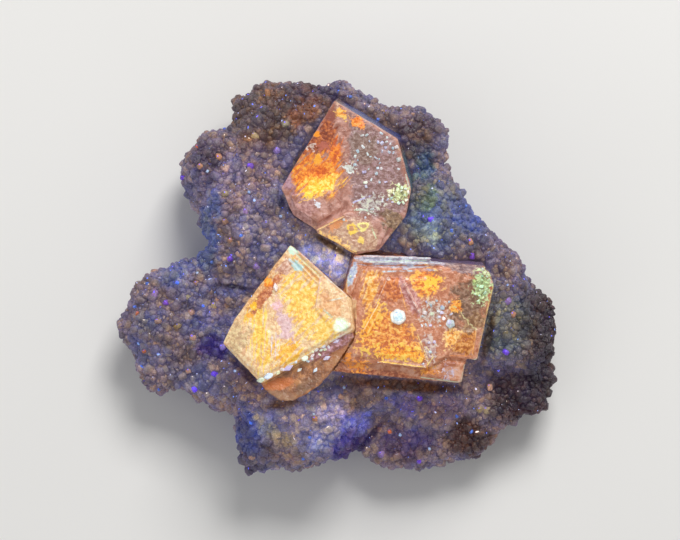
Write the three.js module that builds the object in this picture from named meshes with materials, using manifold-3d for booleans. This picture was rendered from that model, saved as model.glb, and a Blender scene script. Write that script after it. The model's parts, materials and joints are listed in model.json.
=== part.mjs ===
// An alunite cluster: three blocky, nearly cubic alunite rhombs, 12 to 17 mm across, sit in a lobed plate
// of rock that is crusted with a fine crystal druse. It lies on its flat back and the rhombs face up.
// Millimetres, +Z up, +X to the right and +Y away as the specimen is looked down on.
// The two lower rhombs have grown into each other and are one solid; the upper rhomb stands alone.
import * as THREE from "three";
import { ConvexGeometry } from "three/addons/geometries/ConvexGeometry.js";
import { ImprovedNoise } from "three/addons/math/ImprovedNoise.js";
import { MeshSurfaceSampler } from "three/addons/math/MeshSurfaceSampler.js";
import { mergeVertices } from "three/addons/utils/BufferGeometryUtils.js";
import Module from "manifold-3d";

// Driving dimensions
const backPlane = 0;
const socketGap = 0.32;
const socketOpening = 3;
const crystalDepth = 10.5;
const stepDepth = 1.5;
const edgeChamfer = 0.35;
// How near a block's sides lie to its middle, as a share of its nearest corner's distance.
const sideShare = 0.72;

// The lobes of the rock plate: centre, radii, turn in degrees, and the heights of underside and top.
// The squarer a lobe, the flatter its top and the steeper its sides.
const lobes = {
  heart: { at: [0.5, -2.0], radii: [19.5, 16.0], turn: -25, heights: [-3.5, 15.6], square: 3 },
  saddle: { at: [-1.8, 1.2], radii: [6.6, 5.0], turn: -30, heights: [6.0, 17.8], square: 3 },
  upperBed: { at: [0.0, 12.5], radii: [10.0, 10.5], turn: 0, heights: [-2.0, 16.4], square: 2.8 },
  rightBed: { at: [17.0, -4.5], radii: [8.6, 9.0], turn: 0, heights: [-0.6, 12.0], square: 2.8 },
  leftUpper: { at: [-19.0, -3.2], radii: [7.4, 5.6], turn: 12, heights: [1.6, 12.6], square: 2.6 },
  leftTip: { at: [-22.4, -6.8], radii: [5.1, 5.8], turn: 0, heights: [2.2, 11.6], square: 2.4 },
  leftLower: { at: [-18.8, -10.2], radii: [6.4, 5.0], turn: -14, heights: [1.8, 12.2], square: 2.5 },
  leftCorner: { at: [-21.8, -11.2], radii: [3.9, 3.6], turn: 0, heights: [2.4, 11.0], square: 2.6 },
  leftNeck: { at: [-13.6, -12.4], radii: [5.0, 5.4], turn: -35, heights: [1.0, 12.4], square: 2.4 },
  footLobe: { at: [-4.6, -17.4], radii: [8.8, 6.4], turn: 14, heights: [0.6, 16.6], square: 3.4 },
  footCorner: { at: [-9.2, -20.4], radii: [3.5, 4.7], turn: 10, heights: [1.4, 13.4], square: 2.6 },
  shelfMiddle: { at: [8.4, -19.4], radii: [10.4, 5.2], turn: -2, heights: [0.8, 9.4], square: 2.6 },
  shelfKnot: { at: [12.6, -16.6], radii: [3.9, 3.1], turn: -15, heights: [3.0, 12.8], square: 2.4 },
  shelfEnd: { at: [17.6, -17.2], radii: [5.0, 4.8], turn: 30, heights: [1.2, 10.4], square: 2.4 },
  rightLower: { at: [21.8, -13.2], radii: [5.7, 5.0], turn: 35, heights: [1.6, 10.4], square: 2.5 },
  rightRim: { at: [23.7, -6.6], radii: [3.7, 7.0], turn: 5, heights: [2.2, 12.0], square: 2.5 },
  rightBoss: { at: [21.2, -6.4], radii: [4.4, 6.0], turn: 0, heights: [4.5, 15.6], square: 3.4 },
  rightShoulder: { at: [18.4, 0.2], radii: [5.5, 7.4], turn: 35, heights: [1.2, 15.6], square: 2.6 },
  slope: { at: [11.4, 6.6], radii: [5.6, 8.2], turn: 35, heights: [0.8, 17.8], square: 3 },
  knob: { at: [9.3, 16.6], radii: [4.9, 4.9], turn: 30, heights: [2.6, 15.0], square: 2.5 },
  crown: { at: [0.0, 20.0], radii: [7.0, 4.6], turn: -14, heights: [1.4, 17.4], square: 2.6 },
  crownLeft: { at: [-8.4, 20.0], radii: [4.7, 5.1], turn: 25, heights: [2.0, 14.2], square: 2.6 },
  armTip: { at: [-14.9, 12.3], radii: [4.9, 5.9], turn: 5, heights: [2.6, 13.6], square: 2.5 },
  armTop: { at: [-12.4, 14.6], radii: [5.6, 4.8], turn: -10, heights: [2.6, 14.8], square: 2.8 },
  arm: { at: [-10.2, 6.8], radii: [7.0, 9.4], turn: 5, heights: [1.2, 17.4], square: 3.2 },
};
const lobeBlend = 0.55;
const lumps = { height: 1.5, across: 5.2 };
const rubble = { height: 1.1, across: 2.6 };
// The box that the rock's skin is looked for in, and the step of its grid.
const skinBox = { low: [-33, -30, -6], high: [33, 30, 26] };
const meshStep = 2;

// The druse crystals that are big enough to read on their own: three-faced tips that stand out.
// The lobes are drawn to the ends of these tips, so the rock inside is smaller by crustRelief.
const crustRelief = 0.8;
const tips = {
  count: 160,
  tries: 5000,
  least: 0.8,
  most: 1.6,
  blunt: 1.3,
  sunk: 0.2,
  lean: 0.4,
  spacing: 2.4,
  lowest: 3.2,
};

// Each crystal block is a corner list seen from above, with its top plane: a height and a slope.
const leftRhomb = {
  outline: [[-14.3, -8.3], [-12.8, -5.2], [-5.9, 4.0], [1.6, -2.7], [2.0, -6.5], [-9.5, -13.2]],
  plane: { at: [-6.3, -5.4], height: 21.4, slope: [0.19, -0.15] },
};
const leftRhombStep = {
  outline: [
    [-14.0, -8.3], [-10.6, -4.6], [-7.2, -0.6], [-6.5, 2.0], [0.9, -3.6], [1.3, -6.3], [-9.5, -12.5],
  ],
  lift: 0.45,
};
const rightRhomb = {
  outline: [[2.1, 2.6], [18.4, 1.2], [15.4, -13.3], [-2.0, -11.7], [0.2, -3.4]],
  plane: { at: [8.5, -5.5], height: 20.0, slope: [-0.03, 0.11] },
};
const rightRhombSteps = [
  {
    outline: [[9.2, 1.0], [18.8, 0.6], [19.4, -1.1], [17.3, -10.4], [12.9, -9.9], [10.8, -4.0]],
    lift: 0.75,
  },
  {
    outline: [[3.0, 1.0], [11.4, 0.9], [14.4, -9.2], [11.6, -11.3], [0.8, -10.6], [1.6, -3.2]],
    lift: 1.25,
  },
  {
    outline: [[6.7, 0.2], [9.1, 0.2], [11.4, -10.6], [2.0, -8.8]],
    lift: 1.85,
  },
];
const upperRhomb = {
  outline: [
    [-0.4, 21.7], [7.4, 17.0], [9.1, 10.8], [8.4, 7.4], [5.1, 3.2], [2.1, 2.7], [-5.5, 7.6], [-7.0, 11.0],
  ],
  plane: { at: [1.0, 12.0], height: 21.6, slope: [0.05, 0.08] },
  ridge: { from: [-0.3, 21.5], to: [1.9, 7.4], fall: 0.2 },
};
const upperRhombStep = {
  outline: [[-2.8, 5.9], [1.0, 8.0], [3.6, 8.1], [6.4, 6.3], [5.1, 3.4], [2.1, 2.9]],
  lift: 0.6,
};
// Small crystals grown on the rhombs: place seen from above, size, and which top they stand on.
const riders = {
  right: [
    { at: [7.5, -4.7], size: 1.7 },
    { at: [17.6, -0.2], size: 1.5 },
    { at: [18.3, -1.6], size: 1.3 },
    { at: [17.4, -3.0], size: 1.2 },
    { at: [12.0, -5.4], size: 1.3 },
    { at: [13.6, -4.0], size: 1.1 },
  ],
  upper: [
    { at: [2.0, 14.3], size: 1.4 },
    { at: [5.0, 16.0], size: 1.0 },
    { at: [4.4, 12.2], size: 1.1 },
    { at: [6.9, 10.2], size: 1.7 },
    { at: [5.3, 8.6], size: 1.3 },
    { at: [-2.0, 9.8], size: 1.0 },
  ],
};

const wasm = await Module();
wasm.setup();
const noise = new ImprovedNoise();

// A repeatable random number source.
function makeRandom(seed) {
  let state = seed;
  return () => {
    state = (state * 1664525 + 1013904223) % 4294967296;
    return state / 4294967296;
  };
}

// A closed three.js geometry as a solid for joining and cutting.
function toSolid(geometry) {
  const bare = geometry.clone();
  bare.deleteAttribute("normal");
  bare.deleteAttribute("uv");
  const merged = mergeVertices(bare, 1e-4);
  const vertProperties = new Float32Array(merged.attributes.position.array);
  const triVerts = new Uint32Array(merged.index.array);
  return new wasm.Manifold(new wasm.Mesh({ numProp: 3, vertProperties, triVerts }));
}

// A solid back as a three.js geometry.
function toGeometry(solid) {
  const mesh = solid.getMesh();
  const geometry = new THREE.BufferGeometry();
  geometry.setAttribute("position", new THREE.BufferAttribute(mesh.vertProperties, 3));
  geometry.setIndex(new THREE.BufferAttribute(mesh.triVerts, 1));
  geometry.computeVertexNormals();
  return geometry;
}

// How far a point is outside one lobe, roughly, in millimetres.
function outsideLobe({ at, radii, turn, heights, square }, x, y, z) {
  const angle = THREE.MathUtils.degToRad(turn);
  const [dx, dy] = [x - at[0], y - at[1]];
  const across = Math.hypot(
    (dx * Math.cos(angle) + dy * Math.sin(angle)) / radii[0],
    (dy * Math.cos(angle) - dx * Math.sin(angle)) / radii[1],
  );
  const half = (heights[1] - heights[0]) / 2;
  const up = Math.abs(z - (heights[1] + heights[0]) / 2) / half;
  return (Math.pow(across ** square + up ** square, 1 / square) - 1) * Math.min(...radii, half);
}

// How far a point is outside the rock: the nearest lobe, with the creases between lobes filled a little.
function outsideRock(x, y, z) {
  const near = Object.values(lobes).map((lobe) => Math.exp(-outsideLobe(lobe, x, y, z) / lobeBlend));
  const total = near.reduce((sum, share) => sum + share, Number.MIN_VALUE);
  const lump = noise.noise(x / lumps.across, y / lumps.across, z / lumps.across) * lumps.height;
  return crustRelief - lobeBlend * Math.log(total) - lump;
}

// The rock's skin: one vertex for each grid cell that it crosses and one quad for each crossed grid edge.
function makeRockBody() {
  const { low, high } = skinBox;
  const size = low.map((start, axis) => Math.ceil((high[axis] - start) / meshStep));
  const index = (i, j, k) => i + size[0] * (j + size[1] * k);
  const place = (i, j, k) => [low[0] + i * meshStep, low[1] + j * meshStep, low[2] + k * meshStep];
  const values = new Float32Array(size[0] * size[1] * size[2]);
  forGrid(size, (i, j, k) => (values[index(i, j, k)] = outsideRock(...place(i, j, k))));
  fillPinches(values, size, index);

  const positions = [];
  const cellVertex = new Map();
  forGrid(size.map((n) => n - 1), (i, j, k) => {
    const sum = new THREE.Vector3();
    let crossings = 0;
    for (const [a, b] of cellEdges) {
      const va = values[index(i + a[0], j + a[1], k + a[2])];
      const vb = values[index(i + b[0], j + b[1], k + b[2])];
      if (va < 0 === vb < 0) continue;
      const start = new THREE.Vector3(...place(i + a[0], j + a[1], k + a[2]));
      sum.add(start.lerp(new THREE.Vector3(...place(i + b[0], j + b[1], k + b[2])), va / (va - vb)));
      crossings++;
    }
    if (!crossings) return;
    cellVertex.set(index(i, j, k), positions.length / 3);
    positions.push(...roughened(sum.divideScalar(crossings)));
  });

  const triangles = [];
  forGrid(size.map((n) => n - 1), (i, j, k) => {
    for (const axis of [0, 1, 2]) {
      const far = [i, j, k];
      far[axis]++;
      const here = values[index(i, j, k)] < 0;
      if (here === values[index(...far)] < 0) continue;
      const [u, v] = [[1, 2], [2, 0], [0, 1]][axis];
      const corner = (du, dv) => {
        const cell = [i, j, k];
        cell[u] -= du;
        cell[v] -= dv;
        return cellVertex.get(index(...cell));
      };
      const quad = [corner(1, 1), corner(0, 1), corner(0, 0), corner(1, 0)];
      if (!here) quad.reverse();
      triangles.push(quad[0], quad[1], quad[2], quad[0], quad[2], quad[3]);
    }
  });
  const geometry = new THREE.BufferGeometry();
  geometry.setAttribute("position", new THREE.BufferAttribute(new Float32Array(positions), 3));
  geometry.setIndex(triangles);
  return toSolid(geometry);
}

// A grid face whose corners are inside and outside by turns would pinch the skin, so it is filled.
function fillPinches(values, size, index) {
  const filled = -0.1;
  let changed = true;
  while (changed) {
    changed = false;
    forGrid(size.map((n) => n - 1), (i, j, k) => {
      for (const [u, v] of [[1, 2], [2, 0], [0, 1]]) {
        const face = [[0, 0], [1, 0], [1, 1], [0, 1]].map(([du, dv]) => {
          const corner = [i, j, k];
          corner[u] += du;
          corner[v] += dv;
          return index(...corner);
        });
        const inside = face.map((n) => values[n] < 0);
        if (inside[0] !== inside[2] || inside[1] !== inside[3] || inside[0] === inside[1]) continue;
        for (const n of face) values[n] = Math.min(values[n], filled);
        changed = true;
      }
    });
  }
}

const cellCorners = [0, 1, 2, 3, 4, 5, 6, 7].map((n) => [n & 1, (n >> 1) & 1, n >> 2]);
const cellEdges = cellCorners.flatMap((a) => [0, 1, 2].filter((axis) => !a[axis]).map((axis) => {
  const b = [...a];
  b[axis] = 1;
  return [a, b];
}));

function forGrid(size, visit) {
  for (let k = 0; k < size[2]; k++) {
    for (let j = 0; j < size[1]; j++) {
      for (let i = 0; i < size[0]; i++) visit(i, j, k);
    }
  }
}

// A point of the skin moved in or out, so that the small facets stand at all angles as a druse does.
function roughened(point) {
  const around = 0.3;
  const at = (dx, dy, dz) => outsideRock(point.x + dx, point.y + dy, point.z + dz);
  const out = new THREE.Vector3(
    at(around, 0, 0) - at(-around, 0, 0),
    at(0, around, 0) - at(0, -around, 0),
    at(0, 0, around) - at(0, 0, -around),
  ).normalize();
  const height = noise.noise(point.x / rubble.across, point.y / rubble.across, point.z / rubble.across + 50);
  return point.addScaledVector(out, height * rubble.height);
}

// The height of a crystal's top plane at a point seen from above.
function planeHeight({ at, height, slope }, [x, y]) {
  return height + slope[0] * (x - at[0]) + slope[1] * (y - at[1]);
}

// How far a roofed top has fallen away at a point, on either side of its ridge.
function roofFall(ridge, [x, y]) {
  if (!ridge) return 0;
  const along = new THREE.Vector2(ridge.to[0] - ridge.from[0], ridge.to[1] - ridge.from[1]).normalize();
  const side = (x - ridge.from[0]) * along.y - (y - ridge.from[1]) * along.x;
  return Math.abs(side) * ridge.fall;
}

// A list of corners drawn in or pushed out about their middle by a distance.
function offsetOutline(outline, distance) {
  const middle = outline.reduce((sum, [x, y]) => sum.add(new THREE.Vector2(x, y)), new THREE.Vector2());
  middle.divideScalar(outline.length);
  const reach = Math.min(...outline.map(([x, y]) => Math.hypot(x - middle.x, y - middle.y)));
  const scale = 1 + distance / (reach * sideShare);
  return outline.map(([x, y]) => [middle.x + (x - middle.x) * scale, middle.y + (y - middle.y) * scale]);
}

// A crystal block: its top lies in the plane, its sides run down square to the plane, and its top edges
// are chamfered.
function makeBlock({ outline, plane, ridge, lift = 0, depth, grow = 0 }) {
  const down = new THREE.Vector3(plane.slope[0], plane.slope[1], -1).normalize();
  const wide = offsetOutline(outline, grow);
  const narrow = offsetOutline(outline, grow - edgeChamfer);
  const below = (corner, fall, distance) => {
    const start = new THREE.Vector3(corner[0], corner[1], planeHeight(plane, corner) - fall);
    return start.addScaledVector(down, distance);
  };
  const top = narrow.map((c) => below(c, roofFall(ridge, c), -lift - grow));
  const rim = wide.map((c) => below(c, roofFall(ridge, c), edgeChamfer - lift - grow));
  const foot = wide.map((c) => below(c, 0, depth + grow));
  const ends = ridge ? [ridge.from, ridge.to].map((c) => below(c, 0, -lift - grow)) : [];
  return toSolid(new ConvexGeometry([...top, ...ends, ...rim, ...foot]));
}

// A small blocky crystal at a point, turned at random.
function makeGrain(position, size, random) {
  const geometry = new THREE.BoxGeometry(size, size, size * (1 + 0.3 * random()));
  const turn = new THREE.Euler(random() * Math.PI, random() * Math.PI, random() * Math.PI);
  geometry.applyMatrix4(new THREE.Matrix4().makeRotationFromEuler(turn));
  geometry.translate(position.x, position.y, position.z);
  return toSolid(geometry);
}

// A three-faced crystal tip that points along a direction.
function makeTip(position, direction, size, random) {
  const geometry = new THREE.ConeGeometry(size * tips.blunt, size, 3).rotateY(random() * Math.PI * 2);
  const turn = new THREE.Quaternion().setFromUnitVectors(new THREE.Vector3(0, 1, 0), direction);
  geometry.applyQuaternion(turn).translate(position.x, position.y, position.z);
  return toSolid(geometry);
}

// The larger druse crystals, spread over the rock's face and sides but not its back.
function makeTips(rock, keepClear) {
  const random = makeRandom(41);
  const sampler = new MeshSurfaceSampler(new THREE.Mesh(toGeometry(rock)));
  sampler.setRandomGenerator(random);
  sampler.build();
  const places = [];
  const solids = [];
  const position = new THREE.Vector3();
  const normal = new THREE.Vector3();
  for (let i = 0; i < tips.tries && solids.length < tips.count; i++) {
    sampler.sample(position, normal);
    const onBack = normal.z < -0.2 || position.z < tips.lowest;
    const crowded = places.some((p) => p.distanceTo(position) < tips.spacing);
    if (onBack || crowded || keepClear(position)) continue;
    places.push(position.clone());
    const size = THREE.MathUtils.lerp(tips.least, tips.most, random() ** 2);
    const lean = new THREE.Vector3(random() - 0.5, random() - 0.5, random() - 0.5);
    const direction = normal.clone().addScaledVector(lean, 2 * tips.lean).normalize();
    position.addScaledVector(direction, size * (0.5 - tips.sunk));
    solids.push(makeTip(position, direction, size, random));
  }
  return solids;
}

// Small crystals that have grown on a rhomb's top.
function makeRiders(list, topAt, seed) {
  const random = makeRandom(seed);
  return list.map(({ at, size }) => makeGrain(new THREE.Vector3(at[0], at[1], topAt(at)), size, random));
}

function union(solids) {
  return solids.reduce((whole, solid) => whole.add(solid));
}

// The rock plate with its druse, hollowed where the rhombs are rooted and flat on its back.
function makeRock() {
  const body = makeRockBody();
  const sockets = [...lowerSockets(), makeSocket(upperRhomb, crystalDepth)];
  const inRhomb = (p) => insideOutline(leftRhomb.outline, p) || insideOutline(rightRhomb.outline, p)
    || insideOutline(upperRhomb.outline, p);
  const crusted = union([body, ...makeTips(body, inRhomb)]);
  const [width, depth, height] = skinBox.high.map((high, axis) => high - skinBox.low[axis]);
  const below = new THREE.BoxGeometry(width, depth, height).translate(0, 0, backPlane - height / 2);
  const cut = sockets.reduce((rock, socket) => rock.subtract(socket), crusted.subtract(toSolid(below)));
  return cut.decompose().sort((a, b) => b.volume() - a.volume())[0];
}

// The room that a rhomb takes, with a thin gap all round, open upwards.
function makeSocket(rhomb, depth) {
  return makeBlock({ ...rhomb, depth, grow: socketGap, lift: socketOpening });
}

function lowerSockets() {
  const { plane } = rightRhomb;
  return [
    makeSocket(leftRhomb, crystalDepth),
    makeSocket(rightRhomb, crystalDepth),
    makeSocket({ ...rightRhombSteps[0], plane }, stepDepth),
  ];
}

function insideOutline(outline, { x, y }) {
  let inside = false;
  outline.forEach(([ax, ay], i) => {
    const [bx, by] = outline[(i + 1) % outline.length];
    if (ay > y !== by > y && x < ((bx - ax) * (y - ay)) / (by - ay) + ax) inside = !inside;
  });
  return inside;
}

// The two lower rhombs, grown into each other.
function makeLowerRhombs() {
  const { plane } = rightRhomb;
  const blocks = [
    makeBlock({ ...leftRhomb, depth: crystalDepth }),
    makeBlock({ ...leftRhombStep, plane: leftRhomb.plane, depth: stepDepth }),
    makeBlock({ ...rightRhomb, depth: crystalDepth }),
    ...rightRhombSteps.map((step) => makeBlock({ ...step, plane, depth: stepDepth })),
  ];
  const topAt = (corner) => planeHeight(plane, corner) + rightRhombSteps[1].lift;
  return union([...blocks, ...makeRiders(riders.right, topAt, 7)]);
}

// The upper rhomb, whose top is folded along a low ridge. It stops just short of the lower rhombs.
function makeUpperRhomb() {
  const { plane, ridge } = upperRhomb;
  const blocks = [
    makeBlock({ ...upperRhomb, depth: crystalDepth }),
    makeBlock({ ...upperRhombStep, plane, depth: crystalDepth / 2 }),
  ];
  const topAt = (corner) => planeHeight(plane, corner) - roofFall(ridge, corner);
  const whole = union([...blocks, ...makeRiders(riders.upper, topAt, 19)]);
  return lowerSockets().reduce((rhomb, socket) => rhomb.subtract(socket), whole);
}

function makeMesh(name, solid, colour, roughness) {
  const material = new THREE.MeshStandardMaterial({ color: colour, roughness, flatShading: true });
  const mesh = new THREE.Mesh(toGeometry(solid), material);
  mesh.name = name;
  return mesh;
}

const cluster = new THREE.Group();
cluster.add(
  makeMesh("druse_matrix", makeRock(), 0x6d6373, 0.7),
  makeMesh("lower_rhomb_pair", makeLowerRhombs(), 0xe0a868, 0.3),
  makeMesh("upper_rhomb", makeUpperRhomb(), 0xc59a86, 0.35),
);

// The origin is the middle of the specimen's outline, on the flat back.
const extent = new THREE.Box3().setFromObject(cluster);
const middle = extent.getCenter(new THREE.Vector3());
for (const mesh of cluster.children) {
  mesh.geometry.translate(-middle.x, -middle.y, -extent.min.z);
}

export default cluster;
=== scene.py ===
import json
import math

import bpy
from mathutils import Euler, Matrix, Vector
from mathutils.bvhtree import BVHTree

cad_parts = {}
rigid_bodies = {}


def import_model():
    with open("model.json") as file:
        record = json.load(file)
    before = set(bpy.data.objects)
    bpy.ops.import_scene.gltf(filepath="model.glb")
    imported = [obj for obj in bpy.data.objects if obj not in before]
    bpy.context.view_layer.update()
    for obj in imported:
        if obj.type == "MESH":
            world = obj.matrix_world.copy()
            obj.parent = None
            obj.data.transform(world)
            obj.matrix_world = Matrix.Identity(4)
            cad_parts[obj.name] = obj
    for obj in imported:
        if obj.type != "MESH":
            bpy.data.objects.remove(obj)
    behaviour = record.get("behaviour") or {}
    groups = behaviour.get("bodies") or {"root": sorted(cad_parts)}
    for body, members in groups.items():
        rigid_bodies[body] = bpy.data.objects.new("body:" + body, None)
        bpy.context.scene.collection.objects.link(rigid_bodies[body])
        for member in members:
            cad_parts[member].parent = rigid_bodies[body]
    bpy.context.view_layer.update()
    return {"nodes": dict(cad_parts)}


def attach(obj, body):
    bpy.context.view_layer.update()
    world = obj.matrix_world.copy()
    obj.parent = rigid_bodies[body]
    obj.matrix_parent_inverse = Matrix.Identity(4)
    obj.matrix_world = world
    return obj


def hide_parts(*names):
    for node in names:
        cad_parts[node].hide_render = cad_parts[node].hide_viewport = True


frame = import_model()

mm = 0.001
# where the middle of the specimen's outline lies in the crystals' own millimetres
outlineMiddle = (0.52, -0.30)
aboveAll = 40  # a height in millimetres that is clear of the whole specimen
anyHeight = 1e4  # makes a mask the same at every height


# small helpers
def deselectAll():
    if bpy.context.object and bpy.context.object.mode != "OBJECT":
        bpy.ops.object.mode_set(mode="OBJECT")
    bpy.ops.object.select_all(action="DESELECT")


def makeActive(piece):
    deselectAll()
    piece.select_set(True)
    bpy.context.view_layer.objects.active = piece


def applyModifier(piece, kind, **values):
    makeActive(piece)
    modifier = piece.modifiers.new(kind.title(), kind)
    for key, value in values.items():
        setattr(modifier, key, value)
    bpy.ops.object.modifier_apply(modifier=modifier.name)


def joinAll(pieces, name):
    makeActive(pieces[0])
    for piece in pieces:
        piece.select_set(True)
    bpy.ops.object.join()
    bpy.context.object.name = name
    bpy.context.object.data.name = name
    return bpy.context.object


def copyNode(node, name):
    source = frame["nodes"][node]
    piece = bpy.data.objects.new(name, source.data.copy())
    bpy.context.scene.collection.objects.link(piece)
    piece.data.materials.clear()
    makeActive(piece)
    bpy.ops.object.mode_set(mode="EDIT")
    bpy.ops.mesh.select_all(action="SELECT")
    bpy.ops.mesh.remove_doubles(threshold=0.002 * mm)
    bpy.ops.object.mode_set(mode="OBJECT")
    return piece


def smoothByAngle(piece, degrees):
    makeActive(piece)
    bpy.ops.object.shade_smooth_by_angle(angle=math.radians(degrees))


def place(x, y, z):
    return Vector((x - outlineMiddle[0], y - outlineMiddle[1], z)) * mm


# the other way round, from a point to its place in the crystals' own millimetres
def spotOf(point):
    return point.x / mm + outlineMiddle[0], point.y / mm + outlineMiddle[1]


# shader helpers
def linear(tone):
    shares = [part / 255 for part in tone]
    return (*[c / 12.92 if c <= 0.04045 else ((c + 0.055) / 1.055) ** 2.4 for c in shares], 1.0)


def startMaterial(name):
    material = bpy.data.materials.new(name)
    material.use_nodes = True
    tree = material.node_tree
    shader = tree.nodes["Principled BSDF"]
    return material, tree, shader


def addNode(tree, kind, inputs=(), **values):
    node = tree.nodes.new(kind)
    for key, value in values.items():
        setattr(node, key, value)
    for socket, value in dict(inputs).items():
        if isinstance(value, bpy.types.NodeSocket):
            tree.links.new(value, node.inputs[socket])
        else:
            node.inputs[socket].default_value = value
    return node


def calculate(tree, operation, a, b=0.0):
    return addNode(tree, "ShaderNodeMath", {0: a, 1: b}, operation=operation).outputs[0]


def remap(tree, value, low, high, start=0.0, end=1.0, smooth=True):
    kind = "SMOOTHSTEP" if smooth else "LINEAR"
    inputs = {"Value": value, "From Min": low, "From Max": high, "To Min": start, "To Max": end}
    return addNode(tree, "ShaderNodeMapRange", inputs, interpolation_type=kind).outputs["Result"]


def mixColour(tree, share, first, second):
    node = addNode(tree, "ShaderNodeMix", data_type="RGBA", clamp_factor=True)
    for socket, value in ((node.inputs[0], share), (node.inputs[6], first), (node.inputs[7], second)):
        if isinstance(value, bpy.types.NodeSocket):
            tree.links.new(value, socket)
        else:
            socket.default_value = value
    return node.outputs[2]


def noiseOf(tree, vector, scale, detail=3.0, rough=0.5, distortion=0.0, colour=False):
    inputs = {"Vector": vector, "Scale": scale, "Detail": detail, "Roughness": rough,
              "Distortion": distortion}
    node = addNode(tree, "ShaderNodeTexNoise", inputs)
    return node.outputs["Color" if colour else "Fac"]


def millimetres(tree):
    coordinates = addNode(tree, "ShaderNodeTexCoord").outputs["Object"]
    inputs = {"Vector": coordinates, "Location": (*outlineMiddle, 0), "Scale": (1 / mm, 1 / mm, 1 / mm)}
    return addNode(tree, "ShaderNodeMapping", inputs).outputs["Vector"]


def wander(tree, vector, scale, amount):
    spread = noiseOf(tree, vector, scale, 4.0, 0.6, colour=True)
    centred = addNode(tree, "ShaderNodeVectorMath", {0: spread, 1: (0.5, 0.5, 0.5)}, operation="SUBTRACT")
    inputs = {0: centred.outputs[0], 1: (amount, amount, 0), 2: vector}
    return addNode(tree, "ShaderNodeVectorMath", inputs, operation="MULTIPLY_ADD").outputs[0]


def ovalDepth(tree, vector, at, size, turn=0.0):
    inputs = {"Vector": vector, "Location": (*at, 0), "Rotation": (0, 0, math.radians(turn)),
              "Scale": (*size, anyHeight)}
    inside = addNode(tree, "ShaderNodeMapping", inputs, vector_type="TEXTURE").outputs[0]
    length = addNode(tree, "ShaderNodeVectorMath", {0: inside}, operation="LENGTH").outputs["Value"]
    return calculate(tree, "SUBTRACT", 1.0, length)  # one in the middle, nothing at the rim


def outlineDepth(tree, vector, corners):
    turned = sum(ax * by - bx * ay for (ax, ay), (bx, by) in zip(corners, corners[1:] + corners[:1]))
    corners = corners if turned > 0 else corners[::-1]  # inwards is on the left of each side
    deepest = None
    for (ax, ay), (bx, by) in zip(corners, corners[1:] + corners[:1]):
        inward = Vector((ay - by, bx - ax, 0)).normalized()
        far = addNode(tree, "ShaderNodeVectorMath", {0: vector, 1: inward},
                      operation="DOT_PRODUCT").outputs["Value"]
        depth = calculate(tree, "SUBTRACT", far, inward.dot(Vector((ax, ay, 0))))
        deepest = depth if deepest is None else calculate(tree, "MINIMUM", deepest, depth)
    return deepest


def lineMask(tree, vector, start, end, width):
    dx, dy = end[0] - start[0], end[1] - start[1]
    inputs = {"Vector": vector, "Location": ((start[0] + end[0]) / 2, (start[1] + end[1]) / 2, 0),
              "Rotation": (0, 0, math.atan2(dy, dx)),
              "Scale": (math.hypot(dx, dy) / 2, width / 2, anyHeight)}
    inside = addNode(tree, "ShaderNodeMapping", inputs, vector_type="TEXTURE").outputs[0]
    apart = addNode(tree, "ShaderNodeSeparateXYZ", {0: inside}).outputs
    along = remap(tree, calculate(tree, "ABSOLUTE", apart[0]), 1.0, 0.85)
    across = remap(tree, calculate(tree, "ABSOLUTE", apart[1]), 1.0, 0.3)
    return calculate(tree, "MULTIPLY", along, across)


def contrast(tree, value):
    return remap(tree, value, 0.35, 0.65, smooth=False)


# the rhombs' form, in millimetres
rhombs = {
    "voxel": 0.16,
    "depth": 9.6,
    "edge": 0.22,
    "striaDepth": 0.6,
    "left": {"at": (-6.3, -5.4), "height": 21.4, "slope": (0.19, -0.15)},
    "right": {"at": (8.5, -5.5), "height": 20.0, "slope": (-0.03, 0.11)},
    "upper": {"at": (1.0, 12.0), "height": 21.6, "slope": (0.05, 0.08)},
    "ridge": {"from": (-0.3, 21.5), "to": (1.9, 7.4), "fall": 0.2},
    "relief": {"high": 0.16, "across": 1.1},
    # the ground covered by the left one of the two lower rhombs
    "leftGround": [(-17.3, 7.1), (1.2, 7.1), (1.2, -2.0), (2.3, -3.0), (2.3, -6.9), (2.0, -8.1),
                   (-0.8, -12.3), (-2.7, -18.1), (-17.3, -18.1)],
}


def topHeight(plane, corner, ridge=None):
    height = plane["height"] + sum(s * (c - a) for s, c, a in zip(plane["slope"], corner, plane["at"]))
    if ridge:
        along = (Vector(ridge["to"]) - Vector(ridge["from"])).normalized()
        away = Vector(corner) - Vector(ridge["from"])
        height -= abs(away.x * along.y - away.y * along.x) * ridge["fall"]
    return height


def addBlock(plane, outline, lift=0.0, depth=1.5, ridge=None, edge=None):
    down = Vector((*plane["slope"], -1)).normalized()
    top = [Vector((*c, topHeight(plane, c, ridge) + lift)) for c in outline]
    foot = [Vector((*c, topHeight(plane, c))) + down * depth for c in outline]
    if ridge:
        ends = [ridge["from"], ridge["to"]]
        top += [Vector((*end, topHeight(plane, end, ridge) + lift)) for end in ends]
    points = [place(*p) for p in top + foot]
    deselectAll()
    bpy.ops.mesh.primitive_circle_add(vertices=len(points))
    block = bpy.context.object
    for vertex, point in zip(block.data.vertices, points):
        vertex.co = point
    bpy.ops.object.mode_set(mode="EDIT")
    bpy.ops.mesh.select_all(action="SELECT")
    bpy.ops.mesh.convex_hull()
    bpy.ops.mesh.dissolve_limited(angle_limit=math.radians(2))
    bpy.ops.mesh.normals_make_consistent(inside=False)
    bpy.ops.object.mode_set(mode="OBJECT")
    width = (edge or rhombs["edge"]) * mm
    applyModifier(block, "BEVEL", width=width, segments=2, angle_limit=math.radians(25))
    return block


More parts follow.
